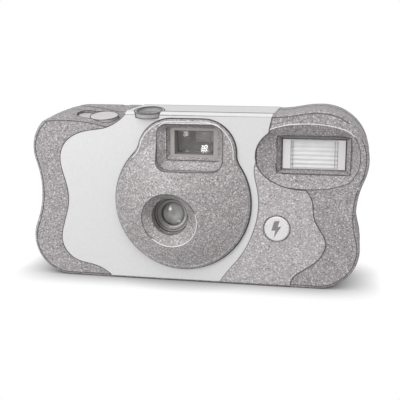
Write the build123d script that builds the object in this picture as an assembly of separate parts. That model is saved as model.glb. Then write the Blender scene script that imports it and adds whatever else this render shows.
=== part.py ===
from build123d import *
import os
from math import asin, atan2, cos, degrees, hypot, radians, sin, sqrt, tan

# A pocket film camera with a built-in flash, sold loaded and used once.
# Millimetres. X runs along the body, the lens looks along -Y, and Z is up.
# The origin is on the base, midway between the front and the back.

# Driving sizes of the body
left_reach = 58.2
lower_left_reach = 59.0
right_reach = 58.8
lower_right_inset = 1.9
body_height = 59.5
hump_rise = 1.6
body_depth = 28.0
wall = 1.2
front_edge_radius = 1.0
rear_edge_radius = 4.0
front_cover_depth = 16.5
overrun = 2.0
seat_gap = 0.1
door_gap = 0.2
running_gap = 0.08
free_gap = 0.3
mid_share = 0.5

# Outline of the body seen from the front: four round corners and two waists
left_heel_radius = 13.5
left_shoulder_radius = 13.5
left_waist_radius = 32.0
right_heel_radius = 14.0
right_shoulder_radius = 16.6
right_waist_radius = 29.0
hump_run = 15.0

# Sloping deck under the shutter button, as drawn on the front face
deck_slope = 12.0
deck_crown_x = -47.0
deck_crown_drop = 3.5
deck_low_x = -32.2
deck_low_drop = 5.2
deck_end_drop = 5.6
deck_top_x = -24.0

# Lens, film and cassette
lens_x = -8.0
lens_z = 23.6
gate_width = 36.0
gate_height = 24.0
film_width = 35.0
film_thickness = 0.2
film_front_y = 10.25
cassette_radius = 12.4
cassette_length = 43.0
cassette_side_gap = 0.4
cassette_rear_gap = 0.2

hump_height = body_height + hump_rise
lower_right_reach = right_reach - lower_right_inset
deck_crown_height = body_height - deck_crown_drop
deck_low_height = body_height - deck_low_drop
deck_end_height = body_height - deck_end_drop
y_front = -body_depth / 2
y_rear = body_depth / 2
y_parting = y_front + front_cover_depth
y_front_inside = y_front + wall
y_rear_inside = y_rear - wall
cassette_x = lens_x - gate_width / 2 - cassette_side_gap - cassette_radius
cassette_y = y_rear_inside - cassette_rear_gap - cassette_radius
cassette_bottom = lens_z - cassette_length / 2
cassette_top = lens_z + cassette_length / 2


def on_front(y):
    """Plane that faces forwards at depth y, with local x along X and local y along Z."""
    return Plane(origin=(0, y, 0), x_dir=(1, 0, 0), z_dir=(0, -1, 0))


def prism(face, y0, y1):
    """Extrudes a face drawn as seen from the front, from depth y0 back to y1."""
    return extrude(on_front(y0) * face, amount=y1 - y0, dir=(0, 1, 0))


def block(x0, x1, y0, y1, z0, z1):
    """Box between six planes."""
    return Pos((x0 + x1) / 2, (y0 + y1) / 2, (z0 + z1) / 2) * Box(x1 - x0, y1 - y0, z1 - z0)


def rod_y(x, z, radius, y0, y1):
    """Cylinder along Y between two depths."""
    return prism(Pos(x, z) * Circle(radius), y0, y1)


def rod_z(x, y, radius, z0, z1):
    """Cylinder along Z between two heights."""
    return extrude(Pos(x, y, z0) * Circle(radius), amount=z1 - z0)


def rod_x(y, z, radius, x0, x1):
    """Cylinder along X between two stations."""
    side = Plane(origin=(x0, y, z), x_dir=(0, 1, 0), z_dir=(1, 0, 0))
    return extrude(side * Circle(radius), amount=x1 - x0)


def between(face0, y0, face1, y1):
    """Ruled loft from a front-view face at depth y0 to another at depth y1."""
    return loft([on_front(y0) * face0, on_front(y1) * face1], ruled=True)


def bar(x0, y0, x1, y1, width, z0, z1):
    """Round-ended bar between two points of the plan."""
    length = hypot(x1 - x0, y1 - y0)
    turn = degrees(atan2(y1 - y0, x1 - x0))
    slot = Pos((x0 + x1) / 2, (y0 + y1) / 2, z0) * Rot(0, 0, turn) * SlotCenterToCenter(length, width)
    return extrude(slot, amount=z1 - z0)


def arm_y(x0, z0, x1, z1, width, y0, y1):
    """Round-ended bar between two points of the front view."""
    length = hypot(x1 - x0, z1 - z0)
    turn = degrees(atan2(z1 - z0, x1 - x0))
    return prism(Pos((x0 + x1) / 2, (z0 + z1) / 2) * Rot(0, 0, turn) * SlotCenterToCenter(length, width), y0, y1)


def star(x, y, radius, depth, count, lean, z0, z1):
    """Toothed disc: count teeth of a depth, each with its root at lean of a pitch after its tip."""
    points = []
    for index in range(count):
        tip = radians(index * 360 / count)
        root = radians((index + lean) * 360 / count)
        points.append((x + radius * cos(tip), y + radius * sin(tip)))
        points.append((x + (radius - depth) * cos(root), y + (radius - depth) * sin(root)))
    return extrude(Pos(0, 0, z0) * make_face(Polyline(*points, close=True)), amount=z1 - z0)


def neighbour_circle(a, radius_a, b, radius_b, radius, side):
    """Centre of the circle that touches two others from outside, left of the way from a to b for side 1."""
    dx, dz = b[0] - a[0], b[1] - a[1]
    gap = hypot(dx, dz)
    along = ((radius_a + radius) ** 2 - (radius_b + radius) ** 2 + gap ** 2) / (2 * gap)
    off = side * sqrt((radius_a + radius) ** 2 - along ** 2)
    return (a[0] + (along * dx - off * dz) / gap, a[1] + (along * dz + off * dx) / gap)


def bearing(a, b):
    """Direction from point a to point b, in degrees."""
    return degrees(atan2(b[1] - a[1], b[0] - a[0]))


def arc(centre, radius, start, end):
    """Arc about a centre, counter-clockwise from one direction to another."""
    return CenterArc(centre, radius, start, (end - start) % 360).edge()


def closed(edges):
    """Face inside a closed chain of edges."""
    return make_face(Wire(edges))


# Body shell, shared by the covers, the label and the doors
def body_outline(inset):
    """Front view of the body, drawn inside the real outline by inset."""
    heel_left = (-lower_left_reach + left_heel_radius, left_heel_radius)
    shoulder_left = (-left_reach + left_shoulder_radius, body_height - left_shoulder_radius)
    heel_right = (lower_right_reach - right_heel_radius, right_heel_radius)
    shoulder_right = (right_reach - right_shoulder_radius, hump_height - right_shoulder_radius)
    waist_left = neighbour_circle(heel_left, left_heel_radius, shoulder_left, left_shoulder_radius,
                                  left_waist_radius, 1)
    waist_right = neighbour_circle(heel_right, right_heel_radius, shoulder_right, right_shoulder_radius,
                                   right_waist_radius, -1)
    rise = hump_height - body_height
    hump_radius = (hump_run ** 2 + rise ** 2) / (4 * rise)
    hump_turn = degrees(asin(hump_run / 2 / hump_radius))
    hump_crest = (shoulder_right[0], hump_height - hump_radius)
    hump_foot = (shoulder_right[0] - hump_run, body_height + hump_radius)
    top = body_height - inset
    return closed([
        Line((heel_left[0], inset), (heel_right[0], inset)).edge(),
        arc(heel_right, right_heel_radius - inset, 270, bearing(heel_right, waist_right)),
        arc(waist_right, right_waist_radius + inset, bearing(waist_right, shoulder_right),
            bearing(waist_right, heel_right)),
        arc(shoulder_right, right_shoulder_radius - inset, bearing(shoulder_right, waist_right), 90),
        arc(hump_crest, hump_radius - inset, 90, 90 + hump_turn),
        arc(hump_foot, hump_radius + inset, 270, 270 + hump_turn),
        Line((hump_foot[0], top), (shoulder_left[0], top)).edge(),
        arc(shoulder_left, left_shoulder_radius - inset, 90, bearing(shoulder_left, waist_left)),
        arc(waist_left, left_waist_radius + inset, bearing(waist_left, heel_left),
            bearing(waist_left, shoulder_left)),
        arc(heel_left, left_heel_radius - inset, bearing(heel_left, waist_left), 270),
    ])


def deck_cut(inset):
    """Sloping tool that lowers the top under the shutter button."""
    left = -lower_left_reach - overrun
    high = body_height + body_depth
    rest = ThreePointArc((left, deck_end_height), (deck_crown_x, deck_crown_height), (deck_low_x, deck_low_height))
    rise = TangentArc((deck_low_x, deck_low_height), (deck_top_x, body_height), tangent=rest % 1)
    back = Polyline((deck_top_x, body_height), (deck_top_x + overrun, high), (left, high), (left, deck_end_height))
    face = closed([rest.edge(), rise.edge(), *back.edges()])
    drop = overrun * tan(radians(deck_slope))
    length = (body_depth + 2 * overrun) / cos(radians(deck_slope))
    uphill = (0, cos(radians(deck_slope)), sin(radians(deck_slope)))
    placed = on_front(y_front - overrun) * Pos(inset, -inset - drop) * face
    return extrude(placed, amount=length, dir=uphill)


def rounded_block(grow):
    """Body before its deck is cut, drawn outside the real surface by grow."""
    solid = prism(body_outline(-grow), y_front - grow, y_rear + grow)
    solid = fillet(solid.faces().sort_by(Axis.Y)[-1].edges(), rear_edge_radius + grow)
    return fillet(solid.faces().sort_by(Axis.Y)[0].edges(), front_edge_radius + grow)


def outer_body():
    """The whole body as a solid."""
    solid = prism(body_outline(0), y_front, y_rear)
    solid = fillet(solid.faces().sort_by(Axis.Y)[-1].edges(), rear_edge_radius)
    solid = fillet(solid.faces().sort_by(Axis.Y)[0].edges(), front_edge_radius)
    return solid - deck_cut(0)


def inner_space():
    """The space inside the walls, bevelled behind the rounded rear edges."""
    solid = prism(body_outline(wall), y_front_inside, y_rear_inside)
    solid = chamfer(solid.faces().sort_by(Axis.Y)[-1].edges(), rear_edge_radius / 2)
    return solid - deck_cut(wall)


def slab(y0, y1):
    """Everything between two depths, wider and taller than the body."""
    return block(-lower_left_reach - overrun, right_reach + overrun, y0, y1, -overrun, hump_height + overrun)


def soft_oval(x, z, half_width, half_height, power):
    """Front view of a superellipse: power 2 is an ellipse, and more is closer to a rectangle."""
    edges = []
    for start in (-45, 45, 135, 225):
        points = []
        for step in range(oval_steps + 1):
            turn = radians(start + step * 90 / oval_steps)
            across = abs(cos(turn)) ** (2 / power) * half_width
            up = abs(sin(turn)) ** (2 / power) * half_height
            points.append((x + (across if cos(turn) > 0 else -across), z + (up if sin(turn) > 0 else -up)))
        edges.append(Spline(*points).edge())
    return closed(edges)


# Flash dish: an oval funnel that narrows to a rectangular recess with the window at its end
flash_inset = 20.2
flash_z = 45.5
flash_half_width = 17.2
flash_half_height = 11.0
flash_rim_power = 2.1
flash_floor_power = 9.0
oval_steps = 6
flash_funnel_depth = 2.8
flash_recess_depth = 2.6
window_offset = 1.8
window_z = 45.7
window_width = 21.4
window_height = 10.6
recess_margin_x = 1.6
recess_margin_z = 1.0
window_ledge = 0.3
window_thickness = 1.0
window_rib_count = 7
window_rib_rise = 0.35
flash_x = right_reach - flash_inset
window_x = flash_x + window_offset
recess_width = window_width + 2 * recess_margin_x
recess_height = window_height + 2 * recess_margin_z
y_funnel_floor = y_front + flash_funnel_depth
y_window = y_funnel_floor + flash_recess_depth


def flash_cut():
    """Hollow of the flash dish, open to the front."""
    slope_share = overrun / flash_funnel_depth
    half_width = recess_width / 2 + window_ledge
    half_height = recess_height / 2 + window_ledge
    front_x = flash_x + (flash_x - window_x) * slope_share
    front_z = flash_z + (flash_z - window_z) * slope_share
    front_width = flash_half_width + (flash_half_width - half_width) * slope_share
    front_height = flash_half_height + (flash_half_height - half_height) * slope_share
    rim = soft_oval(front_x, front_z, front_width, front_height, flash_rim_power)
    floor = soft_oval(window_x, window_z, half_width, half_height, flash_floor_power)
    funnel = between(rim, y_front - overrun, floor, y_funnel_floor)
    mouth = Pos(window_x, window_z) * Rectangle(recess_width, recess_height)
    seat = Pos(window_x, window_z) * Rectangle(window_width, window_height)
    recess = between(mouth, y_funnel_floor, seat, y_window)
    return funnel + recess + prism(mouth, y_front, y_funnel_floor) + prism(seat, y_window, y_window + window_thickness)


def flash_bowl():
    """Wall that carries the dish, before it is hollowed."""
    width = recess_width + 2 * window_ledge + 2 * wall
    height = recess_height + 2 * window_ledge + 2 * wall
    rim = Rectangle(2 * flash_half_width + wall, 2 * flash_half_height + wall)
    bowl = between(Pos(flash_x, flash_z) * chamfer(rim.vertices(), flash_half_height / 2), y_front + wall / 2,
                   Pos(window_x, window_z) * chamfer(Rectangle(width, height).vertices(), wall),
                   y_funnel_floor + wall)
    sleeve = between(Pos(window_x, window_z) * Rectangle(recess_width + 2 * wall, recess_height + 2 * wall),
                     y_funnel_floor + wall / 2, Pos(window_x, window_z) * Rectangle(window_width + 2 * wall,
                     window_height + 2 * wall), y_window + window_thickness)
    return bowl + sleeve


def flash_window():
    """Clear window with a fresnel pattern of level ribs."""
    width = window_width - 2 * seat_gap
    height = window_height - 2 * seat_gap
    pitch = height / window_rib_count
    bottom = window_z - height / 2
    y_back = y_window + window_thickness
    points = [(y_back, bottom)]
    for index in range(window_rib_count):
        points.append((y_window, bottom + index * pitch))
        points.append((y_window - window_rib_rise, bottom + (index + mid_share) * pitch))
    points += [(y_window, bottom + height), (y_back, bottom + height)]
    side = Plane(origin=(window_x - width / 2, 0, 0), x_dir=(0, 1, 0), z_dir=(1, 0, 0))
    return extrude(side * make_face(Polyline(*points, close=True)), amount=width)


reflector_wall = 0.5
reflector_depth = 4.6
reflector_mouth_margin = 0.3
reflector_back_height = 4.6
belly_depth_share = 0.62
belly_height_share = 0.56
tube_radius = 1.4
tube_length = 27.0
y_reflector = y_window + window_thickness
y_reflector_back = y_reflector + reflector_depth
y_tube = y_reflector_back - reflector_wall - tube_radius - free_gap


def reflector_section(inset):
    """Side view of the reflector trough, as Y and Z."""
    half_mouth = window_height / 2 - reflector_mouth_margin - inset
    half_back = reflector_back_height / 2 - inset
    back = y_reflector_back - inset
    side = Plane(origin=(window_x - window_width / 2, 0, window_z), x_dir=(0, 1, 0), z_dir=(1, 0, 0))
    y_belly = y_reflector + (back - y_reflector) * belly_depth_share
    half_belly = (half_mouth + half_back) * belly_height_share
    upper = ThreePointArc((y_reflector, half_mouth), (y_belly, half_belly), (back, half_back))
    lower = ThreePointArc((back, -half_back), (y_belly, -half_belly), (y_reflector, -half_mouth))
    rear = Line((back, half_back), (back, -half_back))
    mouth = Line((y_reflector, -half_mouth), (y_reflector, half_mouth))
    return side * closed([upper.edge(), rear.edge(), lower.edge(), mouth.edge()])


def flash_reflector():
    """Bright curved trough behind the window, open to the front, with a hole at each end for the tube."""
    outer = extrude(reflector_section(0), amount=window_width)
    hollow = Pos(reflector_wall, 0, 0) * extrude(reflector_section(reflector_wall),
                                                 amount=window_width - 2 * reflector_wall)
    bore = rod_x(y_tube, window_z, tube_radius + running_gap, window_x - window_width, window_x + window_width)
    return outer - hollow - bore


def xenon_tube():
    """Glass flash tube that passes through both ends of the reflector."""
    return rod_x(y_tube, window_z, tube_radius, window_x - tube_length / 2, window_x + tube_length / 2)


# Pear-shaped lens cover with its dome, lens dish and viewfinder funnel
disc_x = -3.9
disc_z = 28.6
disc_radius = 23.7
lobe_left_x = -7.6
lobe_left_z = 45.5
lobe_left_radius = 11.8
lobe_right_x = 3.4
lobe_right_z = 46.1
lobe_right_radius = 11.2
neck_radius = 7.0
plate_proud = 2.0
plate_bevel = 0.7
dome_radius = 22.3
dome_rise = 4.8
dish_radius = 10.3
dish_shift_x = -0.4
dish_shift_z = -1.9
dish_floor_radius = 6.4
dish_rim_y = -19.8
dish_floor_y = -16.4
y_plate = y_front - plate_proud
finder_x = -0.2
finder_z = 49.2
finder_front_x = -1.1
finder_front_width = 22.9
finder_front_height = 15.7
finder_front_z = 47.8
finder_front_y = -16.0
finder_throat_width = 16.6
finder_throat_height = 10.0
finder_corner_radius = 3.6
finder_throat_radius = 1.0


def pear_outline(inset):
    """Front view of the lens cover, drawn inside its outline by inset."""
    disc = (disc_x, disc_z)
    left = (lobe_left_x, lobe_left_z)
    right = (lobe_right_x, lobe_right_z)
    neck_left = neighbour_circle(disc, disc_radius, left, lobe_left_radius, neck_radius, 1)
    neck_right = neighbour_circle(disc, disc_radius, right, lobe_right_radius, neck_radius, -1)
    gap = hypot(right[0] - left[0], right[1] - left[1])
    tilt = degrees(asin((lobe_right_radius - lobe_left_radius) / gap))
    crown = bearing(left, right) + 90 + tilt
    spot_left = (left[0] + (lobe_left_radius - inset) * cos(radians(crown)),
                 left[1] + (lobe_left_radius - inset) * sin(radians(crown)))
    spot_right = (right[0] + (lobe_right_radius - inset) * cos(radians(crown)),
                  right[1] + (lobe_right_radius - inset) * sin(radians(crown)))
    return closed([
        arc(disc, disc_radius - inset, bearing(disc, neck_left), bearing(disc, neck_right)),
        arc(neck_right, neck_radius + inset, bearing(neck_right, right), bearing(neck_right, disc)),
        arc(right, lobe_right_radius - inset, bearing(right, neck_right), crown),
        Line(spot_right, spot_left).edge(),
        arc(left, lobe_left_radius - inset, crown, bearing(left, neck_left)),
        arc(neck_left, neck_radius + inset, bearing(neck_left, disc), bearing(neck_left, left)),
    ])


def dome(inset):
    """Round cap on the disc, drawn inside its surface by inset."""
    ball_radius = (dome_radius ** 2 + dome_rise ** 2) / (2 * dome_rise)
    ball = Pos(disc_x, y_plate - dome_rise + ball_radius, disc_z) * Sphere(ball_radius - inset)
    keep = rod_y(disc_x, disc_z, dome_radius - inset, y_plate - dome_rise - overrun, y_front)
    return ball & keep


def finder_cut():
    """Viewfinder pocket: straight through the dome, then narrowing to the throat in the front wall."""
    mouth = Pos(finder_front_x, finder_front_z) * RectangleRounded(finder_front_width, finder_front_height,
                                                                   finder_corner_radius)
    throat = Pos(finder_x, finder_z) * RectangleRounded(finder_throat_width, finder_throat_height,
                                                       finder_throat_radius)
    pocket = prism(mouth, y_plate - dome_rise - overrun, finder_front_y)
    return pocket + between(mouth, finder_front_y, throat, y_front_inside)


def dish_cut():
    """Conical lens dish, its rim a little lower than its floor, with a straight bore behind it."""
    slope = (dish_radius - dish_floor_radius) / (dish_floor_y - dish_rim_y)
    y_mouth = y_plate - dome_rise - overrun
    mouth_radius = dish_floor_radius + slope * (dish_floor_y - y_mouth)
    lean = (dish_floor_y - y_mouth) / (dish_floor_y - dish_rim_y)
    cone = between(Pos(lens_x + dish_shift_x * lean, lens_z + dish_shift_z * lean) * Circle(mouth_radius), y_mouth,
                   Pos(lens_x, lens_z) * Circle(dish_floor_radius), dish_floor_y)
    return cone + rod_y(lens_x, lens_z, dish_floor_radius, dish_floor_y - seat_gap, y_front_inside)


def lens_cover():
    """Pear-shaped plate on the front, with the dome hollow behind."""
    plate = prism(pear_outline(0), y_plate, y_front)
    plate = chamfer(plate.faces().sort_by(Axis.Y)[0].edges(), plate_bevel)
    solid = plate + dome(0)
    hollow = dome(wall) - rod_y(lens_x + dish_shift_x, lens_z + dish_shift_z, dish_radius + wall,
                                y_plate - dome_rise - overrun, y_front)
    roof = block(-left_reach, right_reach, y_plate - dome_rise - overrun, y_front,
                 finder_front_z - finder_front_height / 2 - wall, body_height)
    return solid - (hollow - roof) - finder_cut() - dish_cut()


# Lens, its ring, the shutter plate and the blade
ring_radius = 6.2
ring_front_radius = 5.4
ring_front_y = -12.6
ring_depth = 3.5
lens_radius = 4.9
lens_aperture_radius = 4.1
lens_seat_y = -11.3
lens_thickness = 1.5
lens_ball_radius = 9.0
shutter_plate_thickness = 1.1
shutter_plate_left = 11.0
shutter_plate_right = 14.0
shutter_plate_down = 8.0
shutter_plate_up = 12.5
stop_radius = 1.75
blade_pivot_dx = 6.0
blade_pivot_dz = 6.0
blade_pin_radius = 0.9
blade_disc_radius = 3.2
blade_arm_width = 2.6
blade_thickness = 0.4
blade_tab_dx = -7.0
blade_tab_dz = 10.0
blade_tab_width = 1.8
blade_hub_radius = 2.0
blade_spring_space = 1.5
standoff_width = 2.4
frame_plate_thickness = 1.2
y_ring_back = ring_front_y + ring_depth
y_shutter_back = y_ring_back + shutter_plate_thickness
y_blade = y_shutter_back + free_gap
y_frame_plate = y_blade + blade_thickness + blade_spring_space
blade_pivot_x = lens_x + blade_pivot_dx
blade_pivot_z = lens_z + blade_pivot_dz
blade_tab_x = blade_pivot_x + blade_tab_dx
blade_tab_z = blade_pivot_z + blade_tab_dz


def lens_retainer():
    """Ring that holds the lens on the shutter plate, with a sloping front."""
    ring = rod_y(lens_x, lens_z, ring_radius, ring_front_y, y_ring_back)
    flare = between(Pos(lens_x, lens_z) * Circle(ring_front_radius), ring_front_y,
                    Pos(lens_x, lens_z) * Circle(lens_aperture_radius), lens_seat_y)
    bore = rod_y(lens_x, lens_z, lens_radius + seat_gap, lens_seat_y, y_ring_back)
    return ring - flare - bore


def front_lens():
    """Single meniscus lens, domed to the front."""
    disc = rod_y(lens_x, lens_z, lens_radius, lens_seat_y, lens_seat_y + lens_thickness)
    ball = Pos(lens_x, lens_seat_y + lens_ball_radius, lens_z) * Sphere(lens_ball_radius)
    return disc & ball


def shutter_plate():
    """Plate that carries the lens in front, and the blade and its pin behind."""
    plate = block(lens_x - shutter_plate_left, lens_x + shutter_plate_right, y_ring_back, y_shutter_back,
                  lens_z - shutter_plate_down, lens_z + shutter_plate_up)
    pin = rod_y(blade_pivot_x, blade_pivot_z, blade_pin_radius, y_shutter_back, y_frame_plate)
    x0 = lens_x - shutter_plate_left
    x1 = lens_x + shutter_plate_right
    z0 = lens_z - shutter_plate_down
    z1 = lens_z + shutter_plate_up
    posts = [block(x0, x0 + standoff_width, y_shutter_back, y_frame_plate, z0, z0 + standoff_width),
             block(x1 - standoff_width, x1, y_shutter_back, y_frame_plate, z1 - standoff_width, z1)]
    return plate + pin + posts - rod_y(lens_x, lens_z, stop_radius, y_ring_back, y_shutter_back)


def shutter_blade():
    """Thin blade that covers the stop, with a tab above its pivot for the striker."""
    y1 = y_blade + blade_thickness
    blade = rod_y(lens_x, lens_z, blade_disc_radius, y_blade, y1)
    blade += arm_y(lens_x, lens_z, blade_pivot_x, blade_pivot_z, blade_arm_width, y_blade, y1)
    blade += arm_y(blade_pivot_x, blade_pivot_z, blade_tab_x, blade_tab_z, blade_tab_width, y_blade, y1)
    blade += rod_y(blade_pivot_x, blade_pivot_z, blade_hub_radius, y_blade, y1)
    return blade - rod_y(blade_pivot_x, blade_pivot_z, blade_pin_radius + running_gap, y_blade, y1)


# Blade return spring
blade_spring_thickness = 0.25
blade_spring_width = 1.0
blade_spring_length = 8.0


def blade_spring():
    """Coil round the blade's pin, with one leg along the shutter plate."""
    y0 = y_blade + blade_thickness + seat_gap
    y1 = y0 + blade_spring_width
    coil = rod_y(blade_pivot_x, blade_pivot_z, blade_pin_radius + seat_gap + 2 * blade_spring_thickness, y0, y1)
    coil -= rod_y(blade_pivot_x, blade_pivot_z, blade_pin_radius + seat_gap, y0, y1)
    leg_z = blade_pivot_z - blade_pin_radius - seat_gap - blade_spring_thickness
    leg = block(blade_pivot_x, blade_pivot_x + blade_spring_length, y0, y1,
                leg_z - blade_spring_thickness / 2, leg_z + blade_spring_thickness / 2)
    return coil + leg


# Main frame: film gate, light box, supply bay and decks
frame_wall = 1.0
gate_plate_thickness = 1.5
gate_margin_x = 1.0
frame_bottom = 3.4
frame_top = 43.9
frame_deck_thickness = 1.2
light_box_front_width = 11.0
supply_x = 21.6
supply_roll_radius = 8.4
supply_roll_gap = 0.15
supply_core_radius = 4.0
supply_journal_radius = 2.0
supply_bay_radius = 9.9
web_gap = 0.5
sprocket_x = -18.5
sprocket_pitch_radius = 6.05
sprocket_drum_radius = 5.9
sprocket_tooth_height = 1.1
sprocket_tooth_width = 1.4
sprocket_teeth = 8
sprocket_z = 37.4
sprocket_height = 3.4
sprocket_shaft_radius = 1.5
wheel_radius = 12.7
wheel_bottom = 46.8
wheel_thickness = 5.0
wheel_journal_radius = 3.0
wheel_flutes = 32
wheel_flute_depth = 0.7
bridge_gap = 0.4
bridge_thickness = 0.8
bridge_reach = 8.2
bridge_half_depth = 8.5
pawl_reach_x = 10.6
pawl_y = -9.6
pawl_pin_radius = 1.1
pawl_hub_radius = 2.1
pawl_thickness = 0.8
pawl_width = 1.3
pawl_tip_gap = 0.15
pawl_tip_angle = -75.0
ratchet_radius = 9.0
ratchet_teeth = 24
ratchet_depth = 0.7
dial_x = -17.6
dial_y = -6.5
dial_radius = 5.7
dial_thickness = 0.8
dial_drop = 2.9
dial_post_radius = 1.0
dial_notches = 30
dial_notch_depth = 0.3
lever_x = -12.5
lever_y = 1.5
lever_pin_radius = 1.2
lever_pin_height = 4.0
lever_hub_radius = 2.2
lever_arm_width = 2.2
lever_thickness = 1.2
lever_finger_width = 1.4
lever_tip_gap = 0.4
film_y = film_front_y + film_thickness / 2
y_gate_front = film_front_y - seat_gap - gate_plate_thickness
y_gate_back = film_front_y - seat_gap
supply_y = film_front_y - supply_roll_gap - supply_roll_radius
sprocket_y = film_y - sprocket_pitch_radius
frame_left = cassette_x + cassette_radius + web_gap
wheel_top = wheel_bottom + wheel_thickness
bridge_bottom = wheel_top + bridge_gap
bridge_left = bridge_reach - cassette_x
pawl_x = cassette_x + pawl_reach_x
dial_bottom = body_height - dial_drop


def main_frame():
    """Black inner frame: gate, light box, supply bay, decks and the bearings of the wheels."""
    gate_x0 = lens_x - gate_width / 2
    gate_x1 = lens_x + gate_width / 2
    window = Pos(lens_x, lens_z) * Rectangle(gate_width, gate_height)
    face = block(frame_left, gate_x1 + gate_margin_x, y_gate_front, y_gate_back, frame_bottom, frame_top)
    box_outer = between(Pos(lens_x, lens_z) * Rectangle(light_box_front_width + 2 * frame_wall,
                                                        light_box_front_width + 2 * frame_wall), y_frame_plate,
                        Pos(lens_x, lens_z) * Rectangle(gate_width + 2 * gate_margin_x - seat_gap,
                                                        gate_height + 2 * frame_wall), y_gate_front)
    box_inner = between(Pos(lens_x, lens_z) * Rectangle(light_box_front_width, light_box_front_width), y_frame_plate,
                        window, y_gate_front)
    front_plate = block(lens_x - shutter_plate_left, lens_x + shutter_plate_right, y_frame_plate,
                        y_frame_plate + frame_plate_thickness, lens_z - shutter_plate_down,
                        lens_z + shutter_plate_up)
    web = block(frame_left, frame_left + frame_wall, y_front_inside + free_gap, y_gate_back, frame_bottom,
                bridge_bottom + bridge_thickness)
    bay_outer = rod_z(supply_x, supply_y, supply_bay_radius + frame_wall, frame_bottom, frame_top)
    bay_inner = rod_z(supply_x, supply_y, supply_bay_radius, frame_bottom + frame_deck_thickness,
                      frame_top - frame_deck_thickness)
    bay_limit = block(gate_x1, supply_x + supply_bay_radius + overrun, y_front, y_gate_back, 0, body_height)
    top_deck = block(frame_left, supply_x, y_frame_plate, y_gate_back, frame_top - frame_deck_thickness, frame_top)
    bridge = block(-bridge_left, frame_left + frame_wall, pawl_y - pawl_pin_radius, bridge_half_depth, bridge_bottom,
                   bridge_bottom + bridge_thickness)
    pawl_pin = rod_z(pawl_x, pawl_y, pawl_pin_radius, wheel_bottom - pawl_thickness - 2 * seat_gap, bridge_bottom)
    dial_post = rod_z(dial_x, dial_y, dial_post_radius, frame_top, dial_bottom + dial_thickness)
    dial_step = rod_z(dial_x, dial_y, 2 * dial_post_radius, frame_top, dial_bottom - seat_gap)
    lever_pin = rod_z(lever_x, lever_y, lever_pin_radius, frame_top, frame_top + lever_pin_height)
    deck_ear = block(dial_x - 2 * dial_post_radius, dial_x + 2 * dial_post_radius, dial_y - 2 * dial_post_radius,
                     y_frame_plate + frame_wall, frame_top - frame_deck_thickness, frame_top)
    frame = face + (bay_outer & bay_limit) + top_deck + box_outer + front_plate + web + bridge + deck_ear
    frame = frame - (bay_inner & bay_limit) - box_inner
    frame = frame - prism(window, y_gate_front, y_gate_back)
    frame = frame + pawl_pin + dial_post + dial_step + lever_pin
    frame = frame - block(window_x - window_width / 2 - free_gap, window_x, y_funnel_floor, y_reflector_back + free_gap,
                          window_z - window_height / 2 - free_gap, body_height)
    tooth_reach = sprocket_drum_radius + sprocket_tooth_height + free_gap
    frame = frame - rod_z(sprocket_x, sprocket_y, tooth_reach, sprocket_z - free_gap,
                          sprocket_z + sprocket_height + free_gap)
    frame = frame - rod_z(sprocket_x, sprocket_y, sprocket_shaft_radius + running_gap, sprocket_z, frame_top)
    frame = frame - rod_z(supply_x, supply_y, supply_journal_radius + running_gap, frame_bottom, frame_top)
    frame = frame - rod_z(cassette_x, cassette_y, wheel_journal_radius + running_gap, bridge_bottom,
                          bridge_bottom + bridge_thickness)
    return frame


# Film transport
cap_height = 3.0
cap_chamfer = 1.6
can_radius = 12.1
can_wall = 0.4
spool_radius = 5.2
lip_length = 3.6
lip_thickness = 0.7
lip_gap = 0.15
perforation_pitch = 4.75
perforation_width = 2.0
perforation_height = 2.8
perforation_edge = 2.0


def cassette_can():
    """Metal film can with its felt-lined mouth at film level."""
    z0 = cassette_bottom + cap_height
    z1 = cassette_top - cap_height
    can = rod_z(cassette_x, cassette_y, can_radius, z0, z1)
    half = sqrt(can_radius ** 2 - (film_y - cassette_y) ** 2)
    lips = block(cassette_x + half - lip_length / 2, cassette_x + half + lip_length, film_y - lip_thickness,
                 film_y + lip_thickness, z0, z1)
    hollow = rod_z(cassette_x, cassette_y, can_radius - can_wall, z0, z1)
    slit = block(cassette_x + half - lip_length, cassette_x + half + lip_length, film_y - lip_gap, film_y + lip_gap,
                 z0, z1)
    return can + lips - hollow - slit


def cassette_caps():
    """Pressed end caps of the film can, bevelled at the rim."""
    caps = []
    for z, outward in ((cassette_bottom, Axis.Z), (cassette_top - cap_height, -Axis.Z)):
        cap = rod_z(cassette_x, cassette_y, cassette_radius, z, z + cap_height)
        cap = chamfer(cap.faces().sort_by(outward)[0].edges(), cap_chamfer)
        caps.append(cap - rod_z(cassette_x, cassette_y, spool_radius + running_gap, z, z + cap_height))
    return Compound(caps)


def cassette_spool():
    """Spool inside the can, which the thumbwheel turns."""
    return rod_z(cassette_x, cassette_y, spool_radius, cassette_bottom, wheel_bottom)


def thumbwheel():
    """Winding wheel with fluted rim, ratchet ring below and journal above."""
    wheel = star(cassette_x, cassette_y, wheel_radius, wheel_flute_depth, wheel_flutes, mid_share, wheel_bottom,
                 wheel_top)
    journal = rod_z(cassette_x, cassette_y, wheel_journal_radius, wheel_top, bridge_bottom + bridge_thickness)
    z0 = wheel_bottom - pawl_thickness
    ring = star(cassette_x, cassette_y, ratchet_radius, ratchet_depth, ratchet_teeth, 0, z0, wheel_bottom)
    ring -= rod_z(cassette_x, cassette_y, spool_radius + running_gap, z0, wheel_bottom)
    return wheel + journal + ring


def ratchet_pawl():
    """Springy pawl on its pin, with its tip by the ratchet ring."""
    z1 = wheel_bottom - seat_gap
    z0 = z1 - pawl_thickness + 2 * seat_gap
    reach = ratchet_radius + pawl_tip_gap + pawl_width / 2
    tip_x = cassette_x + reach * cos(radians(pawl_tip_angle))
    tip_y = cassette_y + reach * sin(radians(pawl_tip_angle))
    pawl = bar(pawl_x, pawl_y, tip_x, tip_y, pawl_width, z0, z1)
    pawl += rod_z(pawl_x, pawl_y, pawl_hub_radius, z0, z1)
    return pawl - rod_z(pawl_x, pawl_y, pawl_pin_radius + running_gap, z0, z1)


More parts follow.
